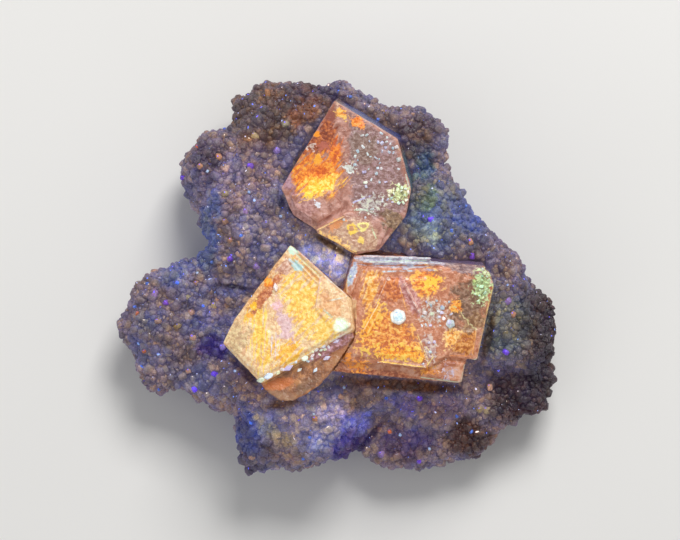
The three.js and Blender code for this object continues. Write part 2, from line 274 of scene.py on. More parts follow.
# a thin stria that stands on a rhomb's top
def addStrip(plane, start, end, width, lift):
    across = Vector((start[1] - end[1], end[0] - start[0])).normalized() * width / 2
    outline = [(start[0] + across.x, start[1] + across.y), (start[0] - across.x, start[1] - across.y),
               (end[0] - across.x, end[1] - across.y), (end[0] + across.x, end[1] + across.y)]
    return addBlock(plane, outline, lift, rhombs["striaDepth"], edge=width * 0.3)


def roughen(piece, relief):
    texture = bpy.data.textures.new(piece.name + "Relief", "CLOUDS")
    texture.noise_scale = relief["across"] * mm
    texture.noise_depth = 3
    applyModifier(piece, "DISPLACE", texture=texture, strength=relief["high"] * mm, mid_level=0.5,
                  texture_coords="LOCAL")


def isInside(point, corners):
    inside = False
    for (ax, ay), (bx, by) in zip(corners, corners[1:] + corners[:1]):
        if (ay > point[1]) != (by > point[1]) and point[0] < ax + (point[1] - ay) / (by - ay) * (bx - ax):
            inside = not inside
    return inside


# how far each point lies under the top of its own rhomb, for the side tone and painted shade of the finish
def noteFall(piece, planeOf, ridge=None):
    fall = piece.data.attributes.new("fall", "FLOAT", "POINT")
    for n, vertex in enumerate(piece.data.vertices):
        spot = spotOf(vertex.co)
        fall.data[n].value = topHeight(planeOf(spot), spot, ridge) - vertex.co.z / mm


def fuse(blocks, name):
    whole = joinAll(blocks, name)
    applyModifier(whole, "REMESH", mode="VOXEL", voxel_size=rhombs["voxel"] * mm, adaptivity=0.0)
    return whole


leftOutline = [(-14.3, -8.3), (-12.8, -5.2), (-5.9, 4.0), (1.6, -2.7), (2.0, -6.5), (-9.5, -13.2)]
rightOutline = [(2.1, 2.6), (18.4, 1.2), (15.4, -13.3), (-2.0, -11.7), (0.2, -3.4)]
upperOutline = [(-0.4, 21.7), (7.4, 17.0), (9.1, 10.8), (8.4, 7.4), (5.1, 3.2), (2.1, 2.7), (-5.5, 7.6),
                (-7.0, 11.0)]

# growth layers that lie on the tops: corners and how far they stand above the rhomb's own top
leftLayers = [
    ([(-14.0, -8.3), (-10.6, -4.6), (-7.2, -0.6), (-6.5, 2.0), (0.9, -3.6), (1.3, -6.3), (-9.5, -12.5)],
     0.45),
    ([(-2.1, 0.1), (1.3, -3.0), (1.7, -6.1), (-0.4, -7.2), (-2.7, -4.0)], 0.66),
    ([(-13.4, -8.1), (-11.3, -5.5), (-8.4, -6.7), (-6.9, -9.5), (-9.5, -12.1)], 0.58),
    ([(-10.5, -12.0), (-8.8, -14.3), (-7.2, -15.3), (-5.7, -15.3), (-4.0, -14.4), (-2.5, -13.4),
      (-1.1, -11.9), (1.7, -7.7), (1.6, -6.5)], -1.9),
    ([(-4.7, -10.1), (-3.6, -10.6), (-0.9, -9.3), (2.0, -7.4), (1.6, -6.2)], -0.95),
]
rightLayers = [
    ([(9.2, 1.0), (18.8, 0.6), (19.4, -1.1), (17.3, -10.4), (12.9, -9.9), (10.8, -4.0)], 0.75),
    ([(3.0, 1.0), (11.4, 0.9), (14.4, -9.2), (11.6, -11.3), (0.8, -10.6), (1.6, -3.2)], 1.0),
    ([(2.8, -0.2), (11.0, -0.3), (12.4, -9.5), (11.1, -11.4), (1.8, -9.8), (2.3, -5.2)], 1.25),
    ([(6.1, -0.4), (9.0, -0.4), (11.0, -10.8), (2.6, -9.3)], 1.38),
    ([(14.2, -6.5), (17.2, -6.7), (16.8, -9.6), (13.8, -9.4)], 1.0),
    ([(10.4, -12.3), (15.3, -13.2), (15.8, -10.8), (12.9, -10.3)], 0.35),
]
upperLayers = [
    ([(-2.8, 5.9), (1.0, 8.0), (3.6, 8.1), (6.4, 6.3), (5.1, 3.4), (2.1, 2.9)], 0.6),
    ([(-2.6, 5.7), (0.9, 7.2), (4.0, 6.7), (4.8, 4.5), (2.5, 3.2)], 0.75),
    ([(-5.9, 10.1), (-0.9, 10.9), (0.6, 8.6), (-2.5, 6.6), (-5.2, 8.4)], 0.25),
]
# thin parallel striae: start, end, width, lift
leftStriae = [
    ((-5.0, 3.2), (1.2, -2.5), 0.2, 0.62), ((-5.4, 2.8), (-2.0, -0.4), 0.16, 0.66),
    ((-5.7, 2.5), (-2.5, -0.8), 0.16, 0.6),
    ((-6.1, 2.1), (-3.2, -0.9), 0.2, 0.66), ((-2.1, -0.1), (-2.7, -4.0), 0.16, 0.8),
    ((-1.1, -2.8), (0.8, -2.6), 0.2, 0.78),
    ((-7.9, -6.1), (-8.1, -9.5), 0.14, 0.55), ((-7.4, -5.2), (-7.5, -10.0), 0.12, 0.55),
    ((-9.0, -5.5), (-9.4, -10.8), 0.12, 0.68),
]
rightStriae = [
    ((3.1, 2.5), (11.6, 2.2), 0.25, 0.4), ((3.1, 1.8), (12.7, 1.6), 0.22, 0.6),
    ((3.6, 1.1), (12.9, 0.8), 0.25, 0.95),
    ((5.2, -3.2), (3.1, -7.1), 0.16, 1.5), ((5.9, -3.1), (3.6, -7.4), 0.14, 1.5),
    ((8.1, -0.7), (10.1, -4.5), 0.18, 1.8),
    ((4.8, -10.6), (11.0, -11.3), 0.18, 1.5), ((17.2, -6.7), (16.7, -9.8), 0.2, 1.15),
]
upperStriae = [
    ((-2.6, 5.7), (0.9, 7.4), 0.22, 0.95), ((-2.5, 5.5), (2.3, 3.0), 0.22, 0.8),
]

rightPlane, leftPlane, upperPlane = rhombs["right"], rhombs["left"], rhombs["upper"]
ridge = rhombs["ridge"]

blocks = [addBlock(leftPlane, leftOutline, depth=rhombs["depth"])]
blocks += [addBlock(leftPlane, corners, lift) for corners, lift in leftLayers]
blocks += [addStrip(leftPlane, *stria) for stria in leftStriae]
blocks += [addBlock(rightPlane, rightOutline, depth=rhombs["depth"])]
blocks += [addBlock(rightPlane, corners, lift) for corners, lift in rightLayers]
blocks += [addStrip(rightPlane, *stria) for stria in rightStriae]
lowerRhombs = fuse(blocks, "lower_rhombs")
roughen(lowerRhombs, rhombs["relief"])
smoothByAngle(lowerRhombs, 30)
noteFall(lowerRhombs, lambda spot: leftPlane if isInside(spot, rhombs["leftGround"]) else rightPlane)
print("lower rhombs", len(lowerRhombs.data.polygons))

blocks = [addBlock(upperPlane, upperOutline, depth=rhombs["depth"], ridge=ridge)]
blocks += [addBlock(upperPlane, corners, lift) for corners, lift in upperLayers]
blocks += [addStrip(upperPlane, *stria) for stria in upperStriae]
upperRhomb = fuse(blocks, "upper_rhomb_crystal")
roughen(upperRhomb, rhombs["relief"])
smoothByAngle(upperRhomb, 30)
noteFall(upperRhomb, lambda spot: upperPlane, ridge)
print("upper rhomb", len(upperRhomb.data.polygons))

# the rock under the druse
crust = {"voxel": 0.5, "smooth": 8, "lumpHeight": 1.6, "lumpAcross": 2.6, "backClear": 1.1,
         "rhombClear": 0.42}


def treeOf(mesh):
    return BVHTree.FromPolygons([v.co for v in mesh.vertices], [p.vertices for p in mesh.polygons])


def nearest(nodes):
    trees = [treeOf(frame["nodes"][node].data) for node in nodes]
    return lambda point: min(tree.find_nearest(point)[3] for tree in trees)


# small bulges and hollows of the rock's outline: middle, reach and how far the rock is moved there
nudges = [
    {"at": (-10.5, -24.4), "reach": 3.02, "move": (-0.25, -1.13)},
    {"at": (-4.7, -23.9), "reach": 2.77, "move": (0, -0.63)},
    {"at": (1.1, -22.1), "reach": 3.02, "move": (0, -1.01)},
    {"at": (7.1, -23.5), "reach": 2.77, "move": (0, -0.76)},
    {"at": (16.7, -21.3), "reach": 3.53, "move": (0.50, -0.76)},
    {"at": (26.5, -12.4), "reach": 4.03, "move": (1.01, -0.25)},
    {"at": (25.2, -15.8), "reach": 2.77, "move": (0.63, -0.76)},
    {"at": (-23.9, -13.3), "reach": 3.02, "move": (-0.63, -1.13)},
    {"at": (-26.4, -9.3), "reach": 2.77, "move": (-0.13, -0.38)},
    {"at": (-26.9, -4.2), "reach": 2.52, "move": (0.25, 0.25)},
    {"at": (-19.1, 13.7), "reach": 2.27, "move": (-0.38, 0)},
    {"at": (-16.3, 17.9), "reach": 2.77, "move": (-0.63, 0.88)},
    {"at": (-12.3, 21.7), "reach": 2.27, "move": (-1.01, 0.88)},
    {"at": (-4.7, 24.0), "reach": 3.27, "move": (0, 0.88)},
    {"at": (0.3, 23.7), "reach": 2.01, "move": (0, 0.50)},
    {"at": (9.5, 20.7), "reach": 2.52, "move": (0.25, 0.76)},
    {"at": (25.2, -3.0), "reach": 2.01, "move": (0.76, 0.25)},
    {"at": (-17.6, 4.0), "reach": 2.77, "move": (1.64, 0)},
    {"at": (20.8, 4.6), "reach": 3.27, "move": (-0.76, -0.63)},
    {"at": (13.8, 15.3), "reach": 2.52, "move": (-0.88, 0)},
    {"at": (-19.8, -14.0), "reach": 2.01, "move": (0.25, 0.88)},
    {"at": (27.5, -7.2), "reach": 2.01, "move": (-0.63, 0)},
    {"at": (-11.0, 23.2), "reach": 1.26, "move": (0.38, -0.38)},
]
# creases, pits and swellings of its top: middle, reach and how far it sinks or rises there
swells = [
    {"at": (6.4, -17.8), "reach": 1.64, "rise": -1.2}, {"at": (4.8, -20.2), "reach": 1.64, "rise": -1.4},
    {"at": (3.0, -22.5), "reach": 1.64, "rise": -1.4}, {"at": (0.1, -16.6), "reach": 4.28, "rise": 1.0},
    {"at": (13.8, -17.1), "reach": 2.77, "rise": 1.0}, {"at": (12.1, -19.5), "reach": 1.26, "rise": -0.9},
    {"at": (-14.5, -1.2), "reach": 1.13, "rise": -1.0}, {"at": (-12.3, -1.8), "reach": 1.13, "rise": -1.2},
    {"at": (-10.0, -1.8), "reach": 1.01, "rise": -1.0}, {"at": (-13.8, 1.1), "reach": 2.27, "rise": 0.7},
    {"at": (-15.5, -7.5), "reach": 1.13, "rise": -1.0}, {"at": (-14.5, -9.5), "reach": 1.13, "rise": -1.2},
    {"at": (-16.7, -9.3), "reach": 1.01, "rise": -0.8}, {"at": (-13.0, -11.0), "reach": 1.13, "rise": -1.0},
    {"at": (-6.7, -15.3), "reach": 2.01, "rise": -1.7}, {"at": (-3.2, -14.0), "reach": 1.76, "rise": -1.3},
    {"at": (-9.5, -14.5), "reach": 1.51, "rise": -1.2}, {"at": (-0.4, -13.3), "reach": 1.38, "rise": -0.9},
    {"at": (3.5, -14.0), "reach": 1.26, "rise": -0.9}, {"at": (7.2, -14.3), "reach": 1.26, "rise": -0.9},
    {"at": (11.0, -14.4), "reach": 1.26, "rise": -0.9}, {"at": (14.8, -14.3), "reach": 1.51, "rise": -1.0},
    {"at": (18.7, -11.3), "reach": 1.51, "rise": -1.2}, {"at": (19.5, -7.4), "reach": 1.13, "rise": -0.8},
    {"at": (-6.5, 8.1), "reach": 1.01, "rise": -0.9}, {"at": (-4.5, 6.5), "reach": 1.01, "rise": -0.9},
    {"at": (-2.2, 4.6), "reach": 1.01, "rise": -0.9}, {"at": (25.5, -4.6), "reach": 1.13, "rise": -0.9},
    {"at": (-11.0, 20.0), "reach": 3.27, "rise": 0.8}, {"at": (-14.5, 15.9), "reach": 1.51, "rise": -0.8},
    {"at": (-11.6, 17.2), "reach": 1.26, "rise": -0.7}, {"at": (11.4, 13.7), "reach": 1.76, "rise": -0.9},
    {"at": (-22.3, -6.7), "reach": 4.28, "rise": 0.7}, {"at": (20.5, -3.0), "reach": 3.27, "rise": 0.6},
]


def shapeRock(piece):
    for vertex in piece.data.vertices:
        spot = Vector(spotOf(vertex.co))
        up = max(vertex.normal.z, 0) if vertex.co.z > crust["backClear"] * mm else 0
        shift = Vector((0, 0, 0))
        for change in nudges + swells:
            near = 1 - (spot - Vector(change["at"])).length / change["reach"]
            if near > 0:
                move = Vector((*change.get("move", (0, 0)), change.get("rise", 0) * up))
                shift += move * near * near * (3 - 2 * near)
        vertex.co += shift * mm


rock = copyNode("druse_matrix", "rock")
applyModifier(rock, "REMESH", mode="VOXEL", voxel_size=crust["voxel"] * mm, adaptivity=0.0)
applyModifier(rock, "SMOOTH", factor=0.5, iterations=crust["smooth"])
shapeRock(rock)
toRhomb = nearest(["lower_rhomb_pair", "upper_rhomb"])
crusted = rock.vertex_groups.new(name="crust")
for vertex in rock.data.vertices:
    isBare = vertex.co.z < crust["backClear"] * mm or toRhomb(vertex.co) < crust["rhombClear"] * mm
    crusted.add([vertex.index], 0.0 if isBare else 1.0, "REPLACE")
texture = bpy.data.textures.new("lumps", "CLOUDS")
texture.noise_scale = crust["lumpAcross"] * mm
texture.noise_depth = 2
applyModifier(rock, "DISPLACE", texture=texture, strength=crust["lumpHeight"] * mm, mid_level=0.47,
              texture_coords="LOCAL", vertex_group="crust")
for vertex in rock.data.vertices:
    vertex.co.z = max(vertex.co.z, 0.0)
print("rock", len(rock.data.polygons))

# druse grains, sizes in millimetres
coarse = {"seed": 3, "spacing": 1.5, "least": 0.8, "most": 1.4, "bevel": 0.18, "jitter": 0.12}
medium = {"seed": 5, "spacing": 0.82, "least": 0.5, "most": 1.0, "bevel": 0.18, "jitter": 0.14}
fine = {"seed": 8, "spacing": 0.53, "least": 0.36, "most": 0.74, "bevel": 0, "jitter": 0.18}
riders = {"seed": 33, "spacing": 0.46, "least": 0.16, "most": 0.52, "bevel": 0.14, "jitter": 0.2}


def makeGrainShape(name, seed, bevel, jitter):
    deselectAll()
    if bevel:
        bpy.ops.mesh.primitive_cube_add(size=1 * mm)
    else:
        bpy.ops.mesh.primitive_ico_sphere_add(subdivisions=1, radius=0.6 * mm)
    grain = bpy.context.object
    grain.name = name
    bpy.ops.object.mode_set(mode="EDIT")
    bpy.ops.mesh.select_all(action="SELECT")
    bpy.ops.transform.vertex_random(offset=jitter * mm, seed=seed)
    if bevel:
        bpy.ops.mesh.bevel(offset=bevel * mm, segments=1, affect="EDGES")
    bpy.ops.object.mode_set(mode="OBJECT")
    smoothByAngle(grain, 60)
    return grain


def scatter(name, source, settings):
    shapes = bpy.data.collections.new(name + "Shapes")
    for n in range(4):
        grain = makeGrainShape(f"{name}Shape{n}", settings["seed"] + n, settings["bevel"],
                               settings["jitter"])
        for home in grain.users_collection:
            home.objects.unlink(grain)
        shapes.objects.link(grain)
    group = bpy.data.node_groups.new(name, "GeometryNodeTree")
    group.interface.new_socket("Geometry", in_out="INPUT", socket_type="NodeSocketGeometry")
    group.interface.new_socket("Geometry", in_out="OUTPUT", socket_type="NodeSocketGeometry")
    start = group.nodes.new("NodeGroupInput").outputs[0]
    where = addNode(group, "GeometryNodeInputNamedAttribute", {"Name": "crust"},
                    data_type="FLOAT").outputs[0]
    points = addNode(group, "GeometryNodeDistributePointsOnFaces", {
        "Mesh": start, "Distance Min": settings["spacing"] * mm, "Density Max": 2.5e7,
        "Density Factor": where, "Seed": settings["seed"]},
        distribute_method="POISSON").outputs["Points"]
    shape = addNode(group, "GeometryNodeCollectionInfo", {
        "Collection": shapes, "Separate Children": True, "Reset Children": True}).outputs[0]
    turn = addNode(group, "FunctionNodeRandomValue", {
        "Min": (0, 0, 0), "Max": (6.3, 6.3, 6.3), "Seed": settings["seed"]}, data_type="FLOAT_VECTOR")
    least, most = settings["least"], settings["most"]
    size = addNode(group, "FunctionNodeRandomValue", {
        "Min": (least, least, least * 0.8), "Max": (most, most, most * 0.9), "Seed": 11},
        data_type="FLOAT_VECTOR")
    copies = addNode(group, "GeometryNodeInstanceOnPoints", {
        "Points": points, "Instance": shape, "Pick Instance": True, "Rotation": turn.outputs[0],
        "Scale": size.outputs[0]}).outputs[0]
    tint = addNode(group, "FunctionNodeRandomValue", {2: 0.0, 3: 1.0, "Seed": 29}).outputs[1]
    stored = addNode(group, "GeometryNodeStoreNamedAttribute", {
        "Geometry": copies, "Name": "tint", "Value": tint}, data_type="FLOAT", domain="INSTANCE").outputs[0]
    real = addNode(group, "GeometryNodeRealizeInstances", {"Geometry": stored}).outputs[0]
    end = group.nodes.new("NodeGroupOutput")
    group.links.new(real, end.inputs[0])

    piece = bpy.data.objects.new(name, source.data.copy())
    bpy.context.scene.collection.objects.link(piece)
    for grown in source.vertex_groups:
        piece.vertex_groups.new(name=grown.name)
    applyModifier(piece, "NODES", node_group=group)
    for grain in list(shapes.objects):
        bpy.data.objects.remove(grain)
    piece.vertex_groups.clear()
    print(name, len(piece.data.polygons))
    return piece


coarseDruse = scatter("coarse_druse", rock, coarse)
mediumDruse = scatter("medium_druse", rock, medium)
fineDruse = scatter("fine_druse", rock, fine)

# single grains of a colour of their own: the colour, the size in millimetres and where they lie
colouredGrains = {
    "violet": ((122, 80, 226), 0.85, [
        (-10.9, 13.8), (-13.4, 2.2), (-21.6, -3.3), (-15.5, -12.3), (11.6, 7.1), (21.1, -9.5),
        (10.3, -15.3), (-19.6, 12.5), (-18.1, -14.2), (8.4, -16.1), (10.3, -23.4), (16.8, 2.6),
        (-12.8, -10.9)]),
    "lilac": ((146, 120, 180), 1.0, [
        (-10.1, 1.3), (-23.0, -2.2), (-14.5, -8.9), (19.2, -8.5), (21.3, -3.1), (-11.5, 8.1),
        (5.6, -22.5), (-7.5, 15.8)]),
    # blue grains: painted glints, coloured to stand in for the lamp's reflection on small faces
    "blue": ((84, 126, 236), 0.5, [
        (-14.3, 18.6), (-9.0, 12.9), (-25.6, -3.8), (-24.0, -0.9), (-20.1, -0.8), (-16.9, -3.7),
        (-24.7, -11.4), (-15.4, -8.8), (6.1, -15.3), (15.0, -17.6), (-10.9, -18.3), (16.1, 8.9),
        (14.2, 5.7), (5.1, 19.7), (-3.5, -20.2), (0.1, 23.2), (-4.3, -22.9), (16.9, -19.6),
        (-22.6, -14.3), (20.2, 5.1), (11.9, 3.8), (-12.1, 5.1), (-15.8, 1.8), (5.9, 19.2), (6.6, 18.6),
        (1.6, 22.5)]),
    # pale blue grains: painted glints, coloured to stand in for the lamp's reflection on small faces
    "pale blue": ((178, 206, 250), 0.45, [
        (-11.0, 10.5), (-7.1, 7.5), (-25.2, -8.5), (-22.6, -9.8), (-12.9, -11.9), (11.6, -21.8),
        (-17.6, 0.4), (21.3, -1.1), (-3.0, -17.1), (7.9, -20.0), (0.8, -13.9), (-3.5, -14.5),
        (-10.4, 9.5), (-2.5, 1.8), (-16.3, 13.2), (-1.6, 1.1)]),
    "peach": ((178, 138, 118), 0.9, [
        (-14.0, 6.9), (-13.3, 4.5), (-17.2, 13.8), (-22.6, -5.6), (-17.8, -0.8), (-18.4, -4.5),
        (-18.2, -7.7), (-18.8, -11.9), (0.3, -15.0), (-8.2, -18.8), (-2.8, -17.8), (16.6, 4.3),
        (-14.9, 15.0), (-10.8, -22.7), (19.2, -14.0), (22.0, -4.8)]),
    "orange": ((196, 106, 66), 0.65, [
        (-17.6, 16.3), (-25.2, -4.7), (6.6, -19.6), (-24.4, -9.4), (-18.3, -7.6)]),
    "straw": ((166, 148, 116), 1.0, [
        (-15.5, -3.6), (-18.9, -2.5), (-20.2, -6.2), (17.9, -16.8), (18.9, -16.9), (-6.5, 19.1),
        (-14.0, 10.3), (-10.3, 17.6)]),
}


def topOfDruse(spot):
    start, down = place(*spot, aboveAll), Vector((0, 0, -1))
    found = [piece.ray_cast(start, down) for piece in (coarseDruse, mediumDruse, fineDruse)]
    return max((hit[1].z for hit in found if hit[0]), default=None)


# each coloured grain is a copy of one of four shapes, with a mesh of its own
def addColouredGrain(spot, height, size, value, turn):
    grain = bpy.data.objects.new("colouredGrain", grainShapes[turn % 4].data.copy())
    bpy.context.scene.collection.objects.link(grain)
    middle = place(*spot, 0) + Vector((0, 0, height - size * 0.15 * mm))
    grain.data.transform(Matrix.LocRotScale(middle, Euler((turn, turn * 2, turn * 3)),
                                            (size, size * 0.85, size * 0.75)))
    own = grain.data.attributes.new("own", "FLOAT", "POINT")
    own.data.foreach_set("value", [value] * len(grain.data.vertices))
    return grain


grainShapes = [makeGrainShape(f"colouredGrainShape{n}", n, 0.2, 0.14) for n in range(4)]
marks = []
for number, (_, size, spots) in enumerate(colouredGrains.values(), 1):
    marks += [(spot, topOfDruse(spot), size, number / 10, len(marks) + n) for n, spot in enumerate(spots)]
colouredDruse = joinAll([addColouredGrain(*mark) for mark in marks if mark[1]], "coloured_grains")
for shape in grainShapes:
    bpy.data.objects.remove(shape)
print("coloured grains", len(marks))

# places on the rhombs where small crystals have settled, and how thickly
riderFields = [
    {"on": "upper", "at": (5.1, 13.7), "size": (3.0, 4.5), "turn": 15, "share": 0.26},
    {"on": "upper", "at": (7.5, 10.1), "size": (1.3, 1.1), "share": 1.0},
    {"on": "upper", "at": (2.8, 7.7), "size": (2.3, 0.6), "turn": 15, "share": 0.6},
    {"on": "lower", "at": (17.9, -1.1), "size": (1.1, 2.1), "turn": -10, "share": 1.0},
    {"on": "lower", "at": (12.1, -4.5), "size": (2.3, 1.8), "turn": 30, "share": 0.3},
    {"on": "lower", "at": (11.4, -9.3), "size": (0.6, 2.0), "turn": -15, "share": 0.5},
    {"on": "lower", "at": (-4.7, -10.6), "size": (5.8, 0.6), "turn": 27, "share": 0.35},
    {"on": "lower", "at": (1.7, 0.1), "size": (1.8, 0.5), "turn": 68, "share": 0.3},
]


def fieldShare(vertex, on):
    x, y = spotOf(vertex.co)
    share = 0.0
    for field in riderFields:
        turn = math.radians(field.get("turn", 0))
        dx, dy = x - field["at"][0], y - field["at"][1]
        across = (dx * math.cos(turn) + dy * math.sin(turn)) / field["size"][0]
        along = (dy * math.cos(turn) - dx * math.sin(turn)) / field["size"][1]
        if field["on"] == on and math.hypot(across, along) < 1 and vertex.normal.z > 0.5:
            share = max(share, field["share"])
    return share


def growRiders(name, source, on):
    grown = source.vertex_groups.new(name="crust")
    for vertex in source.data.vertices:
        grown.add([vertex.index], fieldShare(vertex, on), "REPLACE")
    grains = scatter(name, source, riders)
    source.vertex_groups.clear()
    return grains


lowerRiders = growRiders("lower_rider_grains", lowerRhombs, "lower")
upperRiders = growRiders("upper_rider_grains", upperRhomb, "upper")

# single crystals that sit on the lower rhombs: place, width and height in millimetres, sides, turn, tint
singleRiders = [
    {"at": (7.5, -5.0), "wide": 2.14, "high": 0.5, "sides": 6, "turn": 10, "tint": 0.28, "jitter": 0.04},
    {"at": (7.5, -5.0), "wide": 1.38, "high": 0.62, "sides": 6, "turn": 10, "tint": 0.0, "jitter": 0.03},
    {"at": (7.2, -4.8), "wide": 0.50, "high": 0.75, "sides": 5, "turn": 10, "tint": 0.92, "jitter": 0.03},
    {"at": (14.0, -5.9), "wide": 1.26, "high": 0.4, "sides": 5, "turn": 30, "tint": 0.2, "jitter": 0.1},
    {"at": (13.9, -5.7), "wide": 0.63, "high": 0.55, "sides": 5, "turn": 60, "tint": 0.45, "jitter": 0.05},
    {"at": (-7.7, -1.4), "wide": 0.63, "high": 0.5, "sides": 4, "turn": 100, "tint": 0.8, "jitter": 0.08,
     "long": 1.8},
    {"at": (-9.5, -12.8), "wide": 0.63, "high": 0.3, "sides": 5, "turn": 30, "tint": 0.92, "jitter": 0.1,
     "long": 1.5},
    {"at": (-8.6, -12.3), "wide": 0.76, "high": 0.4, "sides": 5, "turn": 30, "tint": 0.6, "jitter": 0.12,
     "long": 1.7},
    {"at": (-7.4, -11.9), "wide": 0.50, "high": 0.3, "sides": 4, "turn": 60, "tint": 1.0, "jitter": 0.1,
     "long": 1.3},
    {"at": (-6.2, -11.3), "wide": 0.63, "high": 0.35, "sides": 4, "turn": 27, "tint": 0.5, "jitter": 0.1,
     "long": 2.4},
    {"at": (-5.2, -10.6), "wide": 0.38, "high": 0.3, "sides": 4, "turn": 50, "tint": 0.6, "jitter": 0.08,
     "long": 1.2},
    {"at": (-4.1, -10.1), "wide": 0.76, "high": 0.4, "sides": 5, "turn": 20, "tint": 0.92, "jitter": 0.12,
     "long": 1.3},
    {"at": (-3.2, -9.8), "wide": 0.38, "high": 0.3, "sides": 4, "turn": 40, "tint": 0.8, "jitter": 0.08,
     "long": 1.6},
    {"at": (-2.1, -9.1), "wide": 0.31, "high": 0.3, "sides": 4, "turn": 30, "tint": 0.92, "jitter": 0.05,
     "long": 1.8},
    {"at": (-1.4, -10.1), "wide": 0.50, "high": 0.4, "sides": 4, "turn": 30, "tint": 0.45, "jitter": 0.08,
     "long": 2.0},
    {"at": (-0.2, -8.0), "wide": 0.44, "high": 0.3, "sides": 4, "turn": 32, "tint": 0.45, "jitter": 0.08,
     "long": 2.2},
    {"at": (-2.8, -11.6), "wide": 0.38, "high": 0.4, "sides": 4, "turn": 55, "tint": 0.62, "jitter": 0.08,
     "long": 2.0},
    {"at": (-4.8, -11.6), "wide": 0.44, "high": 0.4, "sides": 4, "turn": 40, "tint": 0.3, "jitter": 0.08,
     "long": 1.6},
]


def addSingleRider(rider):
    plane = leftPlane if isInside(rider["at"], rhombs["leftGround"]) else rightPlane
    hit = rhombTop.ray_cast(place(*rider["at"], aboveAll), Vector((0, 0, -1)))[0]
    deselectAll()
    bpy.ops.mesh.primitive_cylinder_add(
        vertices=rider["sides"], radius=rider["wide"] / 2 * mm, depth=(rider["high"] + 0.6) * mm,
        location=hit + Vector((0, 0, rider["high"] / 2 - 0.3)) * mm, scale=(rider.get("long", 1), 1, 1),
        rotation=(-plane["slope"][1], plane["slope"][0], math.radians(rider["turn"])))
    grain = bpy.context.object
    bpy.ops.object.transform_apply(location=True, rotation=True, scale=True)
    bpy.ops.object.mode_set(mode="EDIT")
    bpy.ops.transform.vertex_random(offset=rider["jitter"] * mm, seed=round(rider["turn"]))
    bpy.ops.mesh.bevel(offset=rider["wide"] * 0.13 * mm, segments=2, affect="EDGES")
    bpy.ops.object.mode_set(mode="OBJECT")
    smoothByAngle(grain, 40)
    tint = grain.data.attributes.new("tint", "FLOAT", "POINT")
    tint.data.foreach_set("value", [rider["tint"]] * len(grain.data.vertices))
    return grain


rhombTop = treeOf(lowerRhombs.data)
singles = joinAll([addSingleRider(rider) for rider in singleRiders], "single_rider_crystals")
print("single riders", len(singleRiders))

